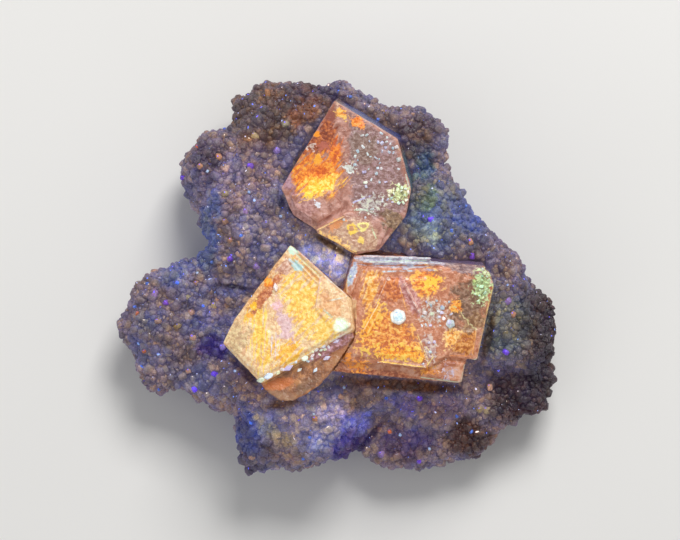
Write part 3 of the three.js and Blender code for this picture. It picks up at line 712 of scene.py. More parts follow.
# finishes, with each part of a tone from 0 to 255
druseLook = {
    "tones": [(0.00, (106, 98, 124)), (0.22, (120, 108, 128)), (0.52, (130, 116, 128)),
              (0.78, (142, 124, 124)), (0.94, (154, 134, 124)), (1.00, (178, 148, 134))],
    # rim and rimShare: painted blue-violet shade mixed onto the grains' steep sides
    "rim": (96, 94, 158), "rimShare": 0.4, "clear": 0.0,
    "warm": (1.2, 0.98, 0.72), "cool": (0.84, 0.97, 1.24),
    # glow: painted light, the druse shines by itself
    "paintedGlow": 0.58, "gain": 0.545, "speckle": 5.5,
    # regions: colour gains over ovals; most are the druse's own tints, those marked below are painted light
    # and shade
    "regions": [
        {"at": (-9.5, 20.3), "size": (7.3, 6.3), "gain": (0.8, 0.6, 0.36)},
        # painted orange light from the upper rhomb on the druse beside it
        {"at": (-4.1, 21.0), "size": (2.0, 3.5), "turn": -30, "gain": (1.5, 0.95, 0.5)},
        {"at": (-12.3, 12.1), "size": (7.6, 6.3), "gain": (1.18, 1.1, 1.06)},
        {"at": (-3.5, 22.9), "size": (6.0, 2.5), "gain": (0.46, 0.4, 0.48)},
        {"at": (-16.1, 14.7), "size": (3.0, 3.5), "gain": (0.42, 0.44, 0.66)},
        {"at": (-10.8, 6.4), "size": (3.8, 3.3), "gain": (1.0, 1.25, 1.7)},
        {"at": (-4.5, 5.4), "size": (2.0, 1.8), "gain": (1.7, 1.9, 2.0)},
        {"at": (11.1, 5.9), "size": (3.0, 2.5), "gain": (2.2, 2.4, 1.8)},
        {"at": (10.4, 17.8), "size": (3.8, 4.3), "gain": (0.6, 0.5, 0.44)},
        {"at": (12.9, 7.7), "size": (7.8, 6.5), "gain": (0.66, 0.98, 1.1)},
        {"at": (10.4, 14.0), "size": (1.8, 3.3), "gain": (0.42, 0.82, 1.0)},
        {"at": (11.4, 10.1), "size": (2.0, 1.8), "gain": (1.1, 1.3, 0.7)},
        {"at": (17.4, 4.3), "size": (3.3, 2.8), "gain": (0.64, 0.68, 0.9)},
        {"at": (16.7, 8.4), "size": (2.8, 3.3), "turn": -35, "gain": (0.7, 0.8, 1.4)},
        {"at": (21.0, -6.0), "size": (5.3, 5.8), "gain": (0.74, 0.95, 0.72)},
        {"at": (-16.4, 5.2), "size": (1.8, 8.3), "gain": (0.42, 0.76, 1.5)},
        {"at": (-19.8, 0.6), "size": (4.3, 1.8), "turn": 20, "gain": (0.7, 0.95, 1.4)},
        # painted shadows: the dark crack along the upper rhomb's lower-left edge and its corner
        {"at": (-4.7, 7.5), "size": (2.8, 0.6), "turn": -37, "gain": (0.3, 0.22, 0.16), "crisp": True},
        {"at": (-0.7, 3.8), "size": (3.5, 0.6), "turn": -32, "gain": (0.3, 0.22, 0.14), "crisp": True},
        {"at": (-7.0, 9.1), "size": (0.6, 1.1), "gain": (0.4, 0.4, 0.5), "crisp": True},
        {"at": (-21.7, -6.7), "size": (7.6, 5.8), "gain": (0.84, 0.9, 1.0)},
        {"at": (-19.6, -12.5), "size": (4.3, 2.3), "gain": (0.7, 0.8, 1.0)},
        {"at": (-15.3, -5.5), "size": (3.0, 2.3), "gain": (1.2, 1.25, 1.45)},
        {"at": (-14.2, -1.6), "size": (4.3, 1.0), "gain": (0.7, 0.85, 1.25)},
        # painted shadow under the ledge of the upper-left lobe
        {"at": (-12.7, -1.3), "size": (3.0, 0.4), "turn": -8, "gain": (0.3, 0.28, 0.35), "crisp": True},
        # painted shade in a crease of the lower lobe
        {"at": (4.2, -20.3), "size": (3.8, 0.6), "turn": 50, "gain": (0.35, 0.28, 0.45), "crisp": True},
        {"at": (-4.7, -18.1), "size": (8.3, 4.8), "gain": (1.4, 1.7, 2.15)},
        {"at": (-11.5, -19.3), "size": (2.0, 5.8), "gain": (0.4, 0.54, 1.1)},
        {"at": (-7.7, -19.6), "size": (4.3, 1.9), "turn": -35, "gain": (1.2, 1.15, 0.75)},
        {"at": (2.1, -18.1), "size": (2.8, 2.8), "turn": 30, "gain": (1.2, 1.3, 2.1)},
        # darker violet-blue on the lower lobe's steep side: partly its tint, partly painted shade
        {"at": (1.6, -21.7), "size": (3.8, 2.3), "turn": 25, "gain": (0.34, 0.28, 0.85)},
        {"at": (-0.6, -16.6), "size": (3.0, 2.3), "gain": (1.3, 1.3, 1.3)},
        {"at": (7.9, -16.1), "size": (3.8, 1.5), "gain": (1.0, 1.0, 1.5)},
        {"at": (-10.3, -22.6), "size": (4.3, 2.3), "gain": (0.6, 0.64, 0.76)},
        # painted shade in the pits beside the left rhomb's corner, tinted violet
        {"at": (-15.5, -9.0), "size": (2.0, 2.8), "gain": (0.35, 0.28, 0.9)},
        # painted shadow on the lower-right lobe
        {"at": (16.7, -20.8), "size": (4.5, 3.8), "gain": (0.36, 0.21, 0.15)},
        {"at": (9.1, -21.1), "size": (4.3, 3.0), "gain": (0.5, 0.42, 0.74)},
        # darker at the lower-right and right rim: partly painted fall-off of light
        {"at": (23.5, -15.0), "size": (6.5, 4.5), "gain": (0.2, 0.14, 0.18)},
        {"at": (13.5, -17.1), "size": (3.0, 2.3), "gain": (0.85, 0.8, 1.0)},
        {"at": (27.0, -6.1), "size": (5.0, 12.1), "gain": (0.24, 0.17, 0.15)},
        # painted shadows under the lower rhombs' edges and in the gap right of them
        {"at": (8.4, -13.7), "size": (10.6, 1.1), "turn": -5, "gain": (0.45, 0.24, 0.12), "crisp": True},
        {"at": (-6.7, -15.8), "size": (3.3, 1.0), "turn": 12, "gain": (0.45, 0.3, 0.2), "crisp": True},
        {"at": (-11.8, -12.0), "size": (3.3, 0.8), "turn": -46, "gain": (0.5, 0.42, 0.5), "crisp": True},
        {"at": (18.9, -7.7), "size": (0.8, 4.3), "turn": -12, "gain": (0.6, 0.4, 0.26), "crisp": True},
        # painted light: brightens the druse between the rhombs, where they shade it
        {"at": (-2.0, 1.3), "size": (4.8, 4.3), "gain": (3.4, 4.3, 4.5)},
    ],
}
paintedGlintTones = [(0.0, (110, 90, 255)), (0.4, (90, 140, 255)), (0.7, (190, 200, 255)), (1.0, (250, 220, 190))]
# painted glints, standing in for the lamp's reflection: which way the faces look that sparkle, how far off
# they may look, and the share of the grains with one
paintedGlint = {"facing": (-0.25, 0.45, 0.86), "spread": 0.02, "share": 0.12}


def addRamp(tree, value, tones, steps="LINEAR"):
    ramp = addNode(tree, "ShaderNodeValToRGB", {"Fac": value})
    ramp.color_ramp.interpolation = steps
    stops = ramp.color_ramp.elements
    for n, (at, tone) in enumerate(tones):
        stop = stops[n] if n < 2 else stops.new(at)
        stop.position = at
        stop.color = linear(tone)
    return ramp.outputs["Color"]


def multiplyColours(tree, first, second):
    return addNode(tree, "ShaderNodeVectorMath", {0: first, 1: second}, operation="MULTIPLY").outputs[0]


def scaleColour(tree, colour, amount):
    return addNode(tree, "ShaderNodeVectorMath", {0: colour, 3: amount}, operation="SCALE").outputs[0]


# how the grains and the rhombs take the light, bumps and depths in metres
grainSurface = {"roughness": 0.45, "scatter": 0.85, "radius": (1.0, 0.7, 0.8), "bump": 0.0003}
rhombSurface = {"roughness": 0.24, "scatter": 0.3, "radius": (1.2, 0.8, 0.5), "bump": 0.0004}
alunite = {"ior": 1.57, "scatterDepth": 0.0008, "bumpShare": 0.6}


def finishShader(tree, shader, colour, emission, height, surface):
    tree.links.new(colour, shader.inputs["Base Color"])
    tree.links.new(colour, shader.inputs["Emission Color"])
    tree.links.new(emission, shader.inputs["Emission Strength"])
    shader.inputs["Roughness"].default_value = surface["roughness"]
    shader.inputs["IOR"].default_value = alunite["ior"]
    shader.inputs["Subsurface Weight"].default_value = surface["scatter"]
    shader.inputs["Subsurface Radius"].default_value = surface["radius"]
    shader.inputs["Subsurface Scale"].default_value = alunite["scatterDepth"]
    inputs = {"Height": height, "Strength": alunite["bumpShare"], "Distance": surface["bump"]}
    bump = addNode(tree, "ShaderNodeBump", inputs)
    tree.links.new(bump.outputs["Normal"], shader.inputs["Normal"])


def druseMaterial(name, look, hasTint=True, hasOwn=False):
    material, tree, shader = startMaterial(name)
    places = millimetres(tree)
    warped = wander(tree, places, 0.25, 6.0)
    if hasTint:
        tint = addNode(tree, "ShaderNodeAttribute", attribute_name="tint").outputs["Fac"]
    else:
        tint = contrast(tree, noiseOf(tree, places, 1.2, 4.0))
    colour = addRamp(tree, tint, look["tones"])
    normal = addNode(tree, "ShaderNodeNewGeometry").outputs["Normal"]
    up = addNode(tree, "ShaderNodeSeparateXYZ", {0: normal}).outputs[2]
    # painted shade: faces that turn away from up are mixed toward the rim tone
    paintedSideShade = calculate(tree, "MULTIPLY", remap(tree, up, 0.95, 0.25), look["rimShare"])
    colour = mixColour(tree, paintedSideShade, colour, linear(look["rim"]))
    for region in look["regions"]:
        ground = places if region.get("crisp") else warped
        mask = remap(tree, ovalDepth(tree, ground, region["at"], region["size"], region.get("turn", 0)),
                     0.0, 0.6)
        gain = mixColour(tree, mask, (1, 1, 1, 1), (*region["gain"], 1))
        colour = multiplyColours(tree, colour, gain)
    if hasOwn:
        own = addNode(tree, "ShaderNodeAttribute", attribute_name="own").outputs["Fac"]
        # painted light: a grain's own colour shows strongest on its upward faces, as a glowing top
        paintedTopGlowShare = remap(tree, up, 0.0, 0.8, 0.5, 1.0)
        ownTones = [kind[0] for kind in colouredGrains.values()]
        steps = [(number / 10 - 0.05, tone) for number, tone in enumerate(ownTones, 1)]
        colour = mixColour(tree, paintedTopGlowShare, colour, addRamp(tree, own, steps, "CONSTANT"))
    mood = contrast(tree, noiseOf(tree, places, 0.22, 3.0, 0.55))
    gain = mixColour(tree, mood, (*look["cool"], 1), (*look["warm"], 1))
    colour = multiplyColours(tree, colour, gain)
    cloud = remap(tree, noiseOf(tree, places, 0.55, 4.0), 0.3, 0.7, 0.7 * look["gain"], 1.35 * look["gain"])
    colour = scaleColour(tree, colour, cloud)
    speckle = remap(tree, noiseOf(tree, places, look["speckle"], 2.0), 0.42, 0.66, 0.86, 1.34)
    colour = scaleColour(tree, colour, speckle)
    # painted glow, brighter on faces that look up, as painted light from above
    emission = calculate(tree, "MULTIPLY", look["paintedGlow"], remap(tree, up, -0.2, 1.0, 0.6, 1.1))
    # painted glints: faces turned toward one direction get a blue-white colour and glow, a painted
    # reflection
    facing = Vector(paintedGlint["facing"]).normalized()
    aimed = addNode(tree, "ShaderNodeVectorMath", {0: normal, 1: facing},
                    operation="DOT_PRODUCT").outputs["Value"]
    paintedGlintShare = remap(tree, aimed, 1 - paintedGlint["spread"], 1 - paintedGlint["spread"] * 0.3)
    shuffled = calculate(tree, "FRACT", calculate(tree, "MULTIPLY", tint, 37.7))
    paintedGlintShare = calculate(tree, "MULTIPLY", paintedGlintShare, remap(tree, shuffled, paintedGlint["share"], paintedGlint["share"] * 0.8))
    colour = mixColour(tree, paintedGlintShare, colour, addRamp(tree, tint, paintedGlintTones))
    emission = calculate(tree, "MAXIMUM", emission, calculate(tree, "MULTIPLY", paintedGlintShare, 0.8))
    shader.inputs["Transmission Weight"].default_value = look["clear"]
    finishShader(tree, shader, colour, emission, noiseOf(tree, places, 3.5, 3.0), grainSurface)
    return material


def rhombMaterial(name, look):
    material, tree, shader = startMaterial(name)
    places = millimetres(tree)
    warped = wander(tree, places, 0.9, 1.3)
    grains = {
        "fine": contrast(tree, noiseOf(tree, places, 2.2, 3.0, 0.6, 0.4)),
        "cloud": contrast(tree, noiseOf(tree, places, 0.9, 5.0, 0.65, 0.6)),
    }
    for grain, turn in look["grains"].items():
        inputs = {"Vector": places, "Rotation": (0, 0, math.radians(turn)), "Scale": (2.4, 0.36, 1)}
        drawn = addNode(tree, "ShaderNodeMapping", inputs, vector_type="TEXTURE").outputs[0]
        grains[grain] = contrast(tree, noiseOf(tree, drawn, 1.0, 4.0, 0.6, 0.3))

    def shadeOf(tones, grain):
        low = remap(tree, grain, 0.15, 0.5)
        high = remap(tree, grain, 0.5, 0.85)
        return mixColour(tree, high, mixColour(tree, low, linear(tones[0]), linear(tones[1])),
                         linear(tones[2]))

    colour = shadeOf(look["base"], grains["cloud"])
    for patch in look["patches"]:
        if "corners" in patch:
            depth = outlineDepth(tree, warped, patch["corners"])
        else:
            depth = ovalDepth(tree, warped, patch["at"], patch["size"], patch.get("turn", 0))
        grain = grains[patch.get("grain", "cloud")]
        ragged = calculate(tree, "MULTIPLY", calculate(tree, "SUBTRACT", grain, 0.5),
                           patch.get("ragged", 0.5))
        mask = remap(tree, calculate(tree, "ADD", depth, ragged), 0.0, patch.get("soft", 0.3))
        mask = calculate(tree, "MULTIPLY", mask, patch.get("share", 0.95))
        tone = patch["tone"]
        shade = shadeOf(tone, grains["fine"]) if isinstance(tone, list) else linear(tone)
        colour = mixColour(tree, mask, colour, shade)
    # thin pale lines on striae and layer edges: partly their own colour, partly painted highlights along the
    # edges
    for line in look["lines"]:
        ground = warped if line.get("crooked") else places
        mask = lineMask(tree, ground, line["from"], line["to"], line["width"])
        broken = remap(tree, grains["fine"], 0.1, 0.7, line.get("least", 0.35), 1.0)
        mask = calculate(tree, "MULTIPLY", mask, broken)
        colour = mixColour(tree, mask, colour, linear(line["tone"]))

    geometry = addNode(tree, "ShaderNodeNewGeometry")
    up = addNode(tree, "ShaderNodeSeparateXYZ", {0: geometry.outputs["Normal"]}).outputs[2]
    fall = addNode(tree, "ShaderNodeAttribute", attribute_name="fall").outputs["Fac"]
    # painted highlights: convex edges are mixed toward the pale edge tone
    paintedEdgeHighlight = remap(tree, geometry.outputs["Pointiness"], 0.53, 0.62, 0.0, look["paintedEdgeHighlightShare"])
    paintedEdgeHighlight = calculate(tree, "MULTIPLY", paintedEdgeHighlight, remap(tree, grains["fine"], 0.2, 0.7, 0.3, 1.0))
    colour = mixColour(tree, paintedEdgeHighlight, colour, linear(look["edge"]))
    # steep faces and parts deep under each rhomb's top take the darker side tone: partly the crystal's own
    # brown flank, partly painted shade
    sideAndShade = calculate(tree, "MULTIPLY", remap(tree, fall, 0.6, 1.6), remap(tree, up, 0.8, 0.4))
    sideAndShade = calculate(tree, "MAXIMUM", sideAndShade, remap(tree, fall, 1.2, 1.7))
    sideTone = shadeOf(look["side"], grains["cloud"])
    for patch in look["sidePatches"]:
        depth = ovalDepth(tree, warped, patch["at"], patch["size"], patch.get("turn", 0))
        sideTone = mixColour(tree, remap(tree, depth, 0.0, 0.4), sideTone, linear(patch["tone"]))
    colour = mixColour(tree, sideAndShade, colour, sideTone)
    colour = scaleColour(tree, colour, look["gain"])
    # the painted glow weakens on the sides and deep parts, as painted shade
    emission = remap(tree, sideAndShade, 0, 1, look["paintedGlow"], look["paintedGlow"] * 0.4, False)
    # painted glow spots: extra self-glow in ovals on the rhombs
    for spot in look["paintedGlowSpots"]:
        mask = remap(tree, ovalDepth(tree, places, spot["at"], spot["size"]), 0.0, 0.6, 0.0, spot["paintedGlow"])
        emission = calculate(tree, "ADD", emission, mask)
    height = calculate(tree, "ADD", noiseOf(tree, places, 1.4, 4.0, 0.6),
                       calculate(tree, "MULTIPLY", grains["fine"], 0.15))
    finishShader(tree, shader, colour, emission, height, rhombSurface)
    return material


lowerLook = {
    "side": [(96, 52, 34), (140, 78, 44), (196, 118, 54)],
    "sidePatches": [{"at": (14.2, 1.8), "size": (8.1, 1.5), "tone": (112, 94, 122)}],
    "paintedGlowSpots": [],
    # glow is painted light; edge and paintedEdgeHighlightShare give painted highlights on convex edges
    "paintedGlow": 0.3, "gain": 0.85, "edge": (236, 232, 222), "paintedEdgeHighlightShare": 0.7,
    "grains": {"along": 48, "upright": 84, "steep": 66, "level": -3},
}
leftLook = {
    **lowerLook,
    "side": [(104, 56, 34), (140, 80, 46), (186, 114, 58)],
    "sidePatches": [
        {"at": (-7.5, -13.3), "size": (2.8, 0.8), "turn": 12, "tone": (206, 110, 46)},
        {"at": (-7.0, -14.8), "size": (2.5, 0.8), "turn": -8, "tone": (148, 104, 80)},
        {"at": (-3.7, -13.4), "size": (2.3, 0.8), "turn": 36, "tone": (104, 60, 44)},
        {"at": (-0.2, -9.6), "size": (3.0, 1.0), "turn": 52, "tone": (158, 88, 46)},
    ],
    "paintedGlowSpots": [{"at": (0.3, -6.0), "size": (1.1, 1.1), "paintedGlow": 0.25}],
    "base": [(200, 146, 104), (220, 172, 126), (236, 200, 150)],
    "patches": [
        {"corners": [(-14.3, -8.2), (-12.8, -5.2), (-5.9, 4.0), (1.6, -2.7), (2.0, -6.5), (-9.5, -13.2)],
         "soft": 0.1, "ragged": 0.1,
         "tone": [(224, 176, 134), (238, 202, 152), (248, 222, 180)]},
        {"at": (-4.3, -3.0), "size": (2.5, 4.0), "turn": 10,
         "tone": [(240, 180, 80), (255, 206, 84), (255, 226, 136)], "ragged": 1.4, "grain": "along"},
        {"at": (-2.0, -6.7), "size": (2.4, 1.9), "tone": [(244, 192, 84), (252, 208, 100), (255, 226, 144)],
         "ragged": 1.2, "grain": "along"},
        {"at": (-9.8, -6.7), "size": (1.4, 4.5), "turn": 6,
         "tone": [(236, 180, 80), (250, 204, 80), (255, 226, 120)], "ragged": 1.6, "grain": "upright"},
        {"at": (-6.0, -9.5), "size": (2.4, 1.4), "tone": [(240, 170, 50), (250, 190, 60), (252, 206, 90)],
         "ragged": 1.4, "grain": "along"},
        {"at": (-6.5, -6.1), "size": (1.1, 2.4), "turn": 15,
         "tone": [(214, 170, 166), (224, 186, 190), (236, 204, 204)], "ragged": 0.7},
        {"at": (-7.5, -3.1), "size": (0.8, 1.0), "turn": 20,
         "tone": [(236, 196, 160), (238, 186, 190), (244, 206, 214)], "ragged": 1.0, "soft": 0.6},
        {"at": (-12.5, -8.0), "size": (1.5, 2.3), "turn": -30,
         "tone": [(192, 156, 118), (214, 182, 136), (230, 206, 156)], "ragged": 0.8},
        {"at": (-8.9, -2.0), "size": (4.3, 0.8), "turn": 53,
         "tone": [(166, 84, 52), (196, 112, 66), (220, 144, 92)], "ragged": 0.8},
        {"at": (-9.4, -1.1), "size": (5.0, 0.5), "turn": 53,
         "tone": [(196, 140, 90), (222, 166, 110), (240, 196, 140)], "ragged": 0.5},
        {"at": (-8.6, -0.8), "size": (0.9, 0.6), "turn": 45,
         "tone": [(236, 130, 30), (255, 165, 45), (255, 190, 80)], "ragged": 0.6},
        {"at": (-6.6, 1.1), "size": (1.3, 0.9), "turn": 30,
         "tone": [(190, 136, 112), (210, 162, 140), (226, 190, 170)], "ragged": 1.2},
        {"at": (-10.4, -3.7), "size": (0.5, 0.5), "tone": (255, 196, 50), "ragged": 0.5},
        {"at": (-10.9, -4.8), "size": (0.5, 0.4), "tone": (255, 176, 60), "ragged": 0.5},
        {"at": (-5.6, 3.2), "size": (0.9, 0.6), "turn": -20, "tone": (212, 240, 216), "ragged": 0.6},
        {"at": (-5.0, 1.3), "size": (0.8, 0.5), "turn": -30, "tone": (200, 230, 224), "ragged": 0.8},
        {"at": (-0.9, -3.7), "size": (2.0, 1.5), "turn": -40,
         "tone": [(222, 160, 110), (236, 180, 126), (246, 200, 150)], "ragged": 0.8},
        {"at": (0.3, -6.0), "size": (1.3, 1.1), "tone": [(212, 240, 196), (224, 248, 218), (240, 254, 236)],
         "ragged": 0.15, "soft": 0.5},
        {"at": (-0.9, -8.9), "size": (3.8, 0.8), "turn": 29,
         "tone": [(150, 96, 92), (184, 130, 134), (206, 160, 176)], "ragged": 0.5},
    ],
    "lines": [
        {"from": (-5.7, 3.3), "to": (1.6, -2.6), "width": 0.28, "tone": (236, 214, 196)},
        {"from": (-5.0, 3.2), "to": (-0.9, -0.3), "width": 0.20, "tone": (240, 178, 176)},
        {"from": (-5.2, 2.8), "to": (-2.0, -0.2), "width": 0.18, "tone": (216, 240, 206)},
        {"from": (-5.6, 2.6), "to": (-2.1, -0.6), "width": 0.18, "tone": (244, 180, 120)},
        {"from": (-6.2, 2.3), "to": (-4.2, 0.6), "width": 0.44, "tone": (206, 226, 232)},
        {"from": (-2.1, 0.1), "to": (-2.7, -3.7), "width": 0.23, "tone": (240, 206, 196)},
        {"from": (-2.7, -3.7), "to": (-0.9, -5.7), "width": 0.18, "tone": (240, 206, 150)},
        {"from": (-1.1, -3.0), "to": (0.8, -2.6), "width": 0.30, "tone": (240, 240, 220)},
        {"from": (-1.8, -4.0), "to": (-0.6, -5.1), "width": 0.38, "tone": (206, 226, 196)},
        {"from": (-8.1, -7.2), "to": (-8.2, -9.8), "width": 0.20, "tone": (226, 226, 240)},
        {"from": (-7.6, -6.7), "to": (-7.7, -10.3), "width": 0.15, "tone": (236, 214, 220)},
        {"from": (-8.8, -5.7), "to": (-9.1, -9.5), "width": 0.15, "tone": (240, 206, 190)},
        {"from": (-7.1, -6.2), "to": (-7.2, -9.3), "width": 0.15, "tone": (240, 220, 180)},
        {"from": (-14.0, -8.2), "to": (-9.5, -13.0), "width": 0.18, "tone": (236, 200, 150)},
        {"from": (-9.5, -12.9), "to": (1.6, -6.7), "width": 0.23, "tone": (226, 216, 196), "least": 0.1},
    ],
}
rightLook = {
    **lowerLook,
    "base": [(168, 100, 70), (196, 132, 98), (214, 164, 138)],
    "patches": [
        {"corners": [(2.0, 1.8), (14.2, 1.8), (18.9, 0.8), (19.3, -1.1), (18.4, -4.7), (17.4, -10.3),
                     (12.9, -10.1), (1.8, -9.5), (1.8, -5.5)],
         "soft": 0.2, "ragged": 0.1, "tone": [(188, 118, 86), (206, 138, 104), (222, 162, 134)]},
        {"at": (16.2, -3.5), "size": (3.0, 5.0), "turn": -8,
         "tone": [(112, 82, 64), (134, 102, 80), (162, 128, 106)], "ragged": 0.6, "soft": 0.6},
        {"corners": [(2.1, -8.8), (3.3, -5.5), (5.7, -3.7), (8.1, -5.2), (9.6, -6.7), (11.3, -11.1)],
         "soft": 0.5,
         "tone": [(206, 108, 52), (244, 152, 60), (255, 200, 100)], "ragged": 1.5, "grain": "fine",
         "share": 0.85},
        {"at": (7.6, -9.5), "size": (4.0, 1.0), "turn": -5,
         "tone": [(236, 136, 44), (255, 176, 58), (255, 214, 100)], "ragged": 1.0, "grain": "fine"},
        {"at": (4.1, -5.7), "size": (1.1, 2.8), "turn": -28,
         "tone": [(236, 140, 40), (250, 176, 60), (255, 206, 100)], "ragged": 1.0, "grain": "fine"},
        {"corners": [(2.8, -3.0), (3.1, 0.8), (5.9, 0.7), (4.8, -3.0), (3.6, -5.0)], "soft": 0.6,
         "tone": [(226, 140, 60), (252, 186, 84), (255, 218, 150)], "ragged": 1.1, "grain": "steep"},
        {"at": (10.9, -0.8), "size": (2.1, 1.9), "tone": [(226, 120, 48), (250, 158, 66), (255, 204, 100)],
         "ragged": 0.7, "soft": 0.2, "grain": "fine"},
        {"at": (11.4, -0.9), "size": (1.1, 0.9), "tone": (255, 212, 80), "ragged": 1.4, "grain": "fine"},
        {"at": (14.7, -3.7), "size": (0.8, 1.0), "tone": [(226, 120, 40), (250, 160, 60), (255, 196, 90)],
         "ragged": 0.8, "grain": "fine"},
        {"at": (14.2, -7.7), "size": (1.0, 1.3), "turn": -20,
         "tone": [(226, 140, 60), (250, 185, 90), (255, 220, 150)], "ragged": 1.2, "grain": "fine"},
        {"corners": [(14.0, -9.6), (15.2, -6.5), (17.2, -6.6), (16.9, -9.8)], "soft": 0.3,
         "tone": [(168, 92, 40), (206, 130, 54), (232, 168, 96)], "ragged": 0.6, "grain": "steep"},
        {"at": (7.1, -1.7), "size": (2.0, 1.8), "tone": [(176, 92, 56), (206, 116, 66), (236, 150, 80)],
         "ragged": 0.8},
        {"at": (9.0, -2.5), "size": (3.0, 0.9), "turn": -60,
         "tone": [(176, 112, 104), (204, 140, 134), (224, 176, 170)], "ragged": 0.5, "grain": "steep"},
        {"at": (11.8, -4.5), "size": (2.1, 1.8), "tone": [(156, 116, 100), (188, 156, 144), (220, 206, 192)],
         "ragged": 0.9, "grain": "fine", "soft": 0.7},
        {"at": (11.4, -8.9), "size": (0.9, 2.0), "turn": 15,
         "tone": [(160, 110, 100), (196, 156, 150), (228, 206, 190)], "ragged": 0.7, "grain": "fine"},
        {"at": (7.9, 2.0), "size": (6.8, 0.9), "turn": -3,
         "tone": [(172, 164, 184), (192, 194, 212), (214, 224, 232)], "ragged": 0.8, "grain": "level"},
        {"at": (16.2, 1.1), "size": (3.0, 0.9), "turn": -8,
         "tone": [(120, 92, 96), (150, 120, 120), (184, 150, 140)], "ragged": 0.6},
        {"at": (1.7, 0.1), "size": (2.1, 0.6), "turn": 68,
         "tone": [(160, 172, 206), (190, 205, 228), (214, 226, 236)], "ragged": 0.5},
        {"at": (17.9, -1.1), "size": (1.4, 2.3), "turn": -10,
         "tone": [(120, 120, 80), (166, 184, 128), (206, 224, 166)], "ragged": 0.9, "grain": "fine"},
        {"at": (16.7, -5.7), "size": (2.3, 1.1), "turn": 30,
         "tone": [(130, 90, 60), (156, 118, 84), (190, 150, 110)], "ragged": 0.7},
        {"corners": [(-1.2, -12.0), (0.1, -9.5), (1.8, -10.0), (11.1, -11.5), (15.7, -11.5), (15.7, -13.8),
                     (7.6, -13.3)], "soft": 0.3,
         "tone": [(136, 70, 46), (172, 98, 66), (206, 140, 100)], "ragged": 0.4},
        {"at": (2.8, -11.3), "size": (1.0, 0.9), "tone": [(170, 90, 40), (240, 140, 50), (255, 180, 80)],
         "ragged": 1.4, "grain": "fine"},
        {"at": (1.3, -10.3), "size": (0.6, 1.0), "turn": 20, "tone": (240, 150, 60), "ragged": 1.6,
         "grain": "fine"},
        {"at": (11.6, -11.8), "size": (1.5, 0.6), "tone": [(180, 100, 60), (216, 136, 60), (240, 170, 80)],
         "ragged": 1.2, "grain": "fine"},
        {"at": (13.7, -12.0), "size": (1.1, 0.9),
         "tone": [(176, 130, 116), (190, 160, 164), (206, 190, 206)], "ragged": 1.4, "grain": "fine",
         "soft": 0.8},
    ],
    "lines": [
        {"from": (5.1, -3.3), "to": (3.2, -6.7), "width": 0.16, "tone": (255, 226, 180)},
        {"from": (5.6, -3.5), "to": (3.6, -7.2), "width": 0.15, "tone": (255, 206, 130)},
        {"from": (6.4, 0.2), "to": (4.6, -3.7), "width": 0.15, "tone": (232, 190, 160)},
        {"from": (8.1, -0.3), "to": (10.4, -4.7), "width": 0.20, "tone": (236, 196, 176)},
        {"from": (7.6, -0.9), "to": (8.6, -4.5), "width": 0.15, "tone": (255, 190, 110)},
        {"from": (5.0, -10.5), "to": (11.1, -11.3), "width": 0.23, "tone": (255, 214, 90)},
        {"from": (11.1, -11.1), "to": (11.9, -9.9), "width": 0.18, "tone": (255, 226, 130)},
        {"from": (11.9, -9.9), "to": (10.9, -8.6), "width": 0.15, "tone": (246, 226, 160)},
        {"from": (9.9, -7.2), "to": (11.3, -10.5), "width": 0.18, "tone": (250, 226, 150)},
        {"from": (14.2, -3.5), "to": (17.4, -6.7), "width": 0.20, "tone": (216, 206, 150), "crooked": True,
         "least": 0.1},
        {"from": (17.2, -6.7), "to": (16.7, -9.8), "width": 0.23, "tone": (240, 166, 80)},
        {"from": (13.8, -9.8), "to": (16.7, -9.9), "width": 0.18, "tone": (232, 150, 90)},
        {"from": (19.3, -1.1), "to": (18.4, -4.7), "width": 0.20, "tone": (226, 206, 130)},
        {"from": (18.4, -4.7), "to": (17.3, -10.4), "width": 0.18, "tone": (206, 170, 120)},
        {"from": (16.2, -10.4), "to": (17.4, -10.3), "width": 0.23, "tone": (220, 220, 190)},
        {"from": (10.1, -12.5), "to": (15.3, -13.2), "width": 0.23, "tone": (196, 200, 170)},
        {"from": (15.3, -13.2), "to": (15.8, -10.8), "width": 0.20, "tone": (206, 190, 160)},
        {"from": (2.2, 2.5), "to": (11.6, 2.5), "width": 0.23, "tone": (236, 206, 206)},
        {"from": (3.6, 1.8), "to": (11.4, 2.0), "width": 0.18, "tone": (206, 226, 196)},
        {"from": (4.3, 1.2), "to": (11.6, 1.2), "width": 0.18, "tone": (214, 216, 236)},
        {"from": (5.4, 0.6), "to": (9.6, 0.7), "width": 0.30, "tone": (206, 220, 230), "least": 0.1},
        {"from": (3.1, 1.3), "to": (1.8, -1.7), "width": 0.18, "tone": (214, 176, 150)},
    ],
}
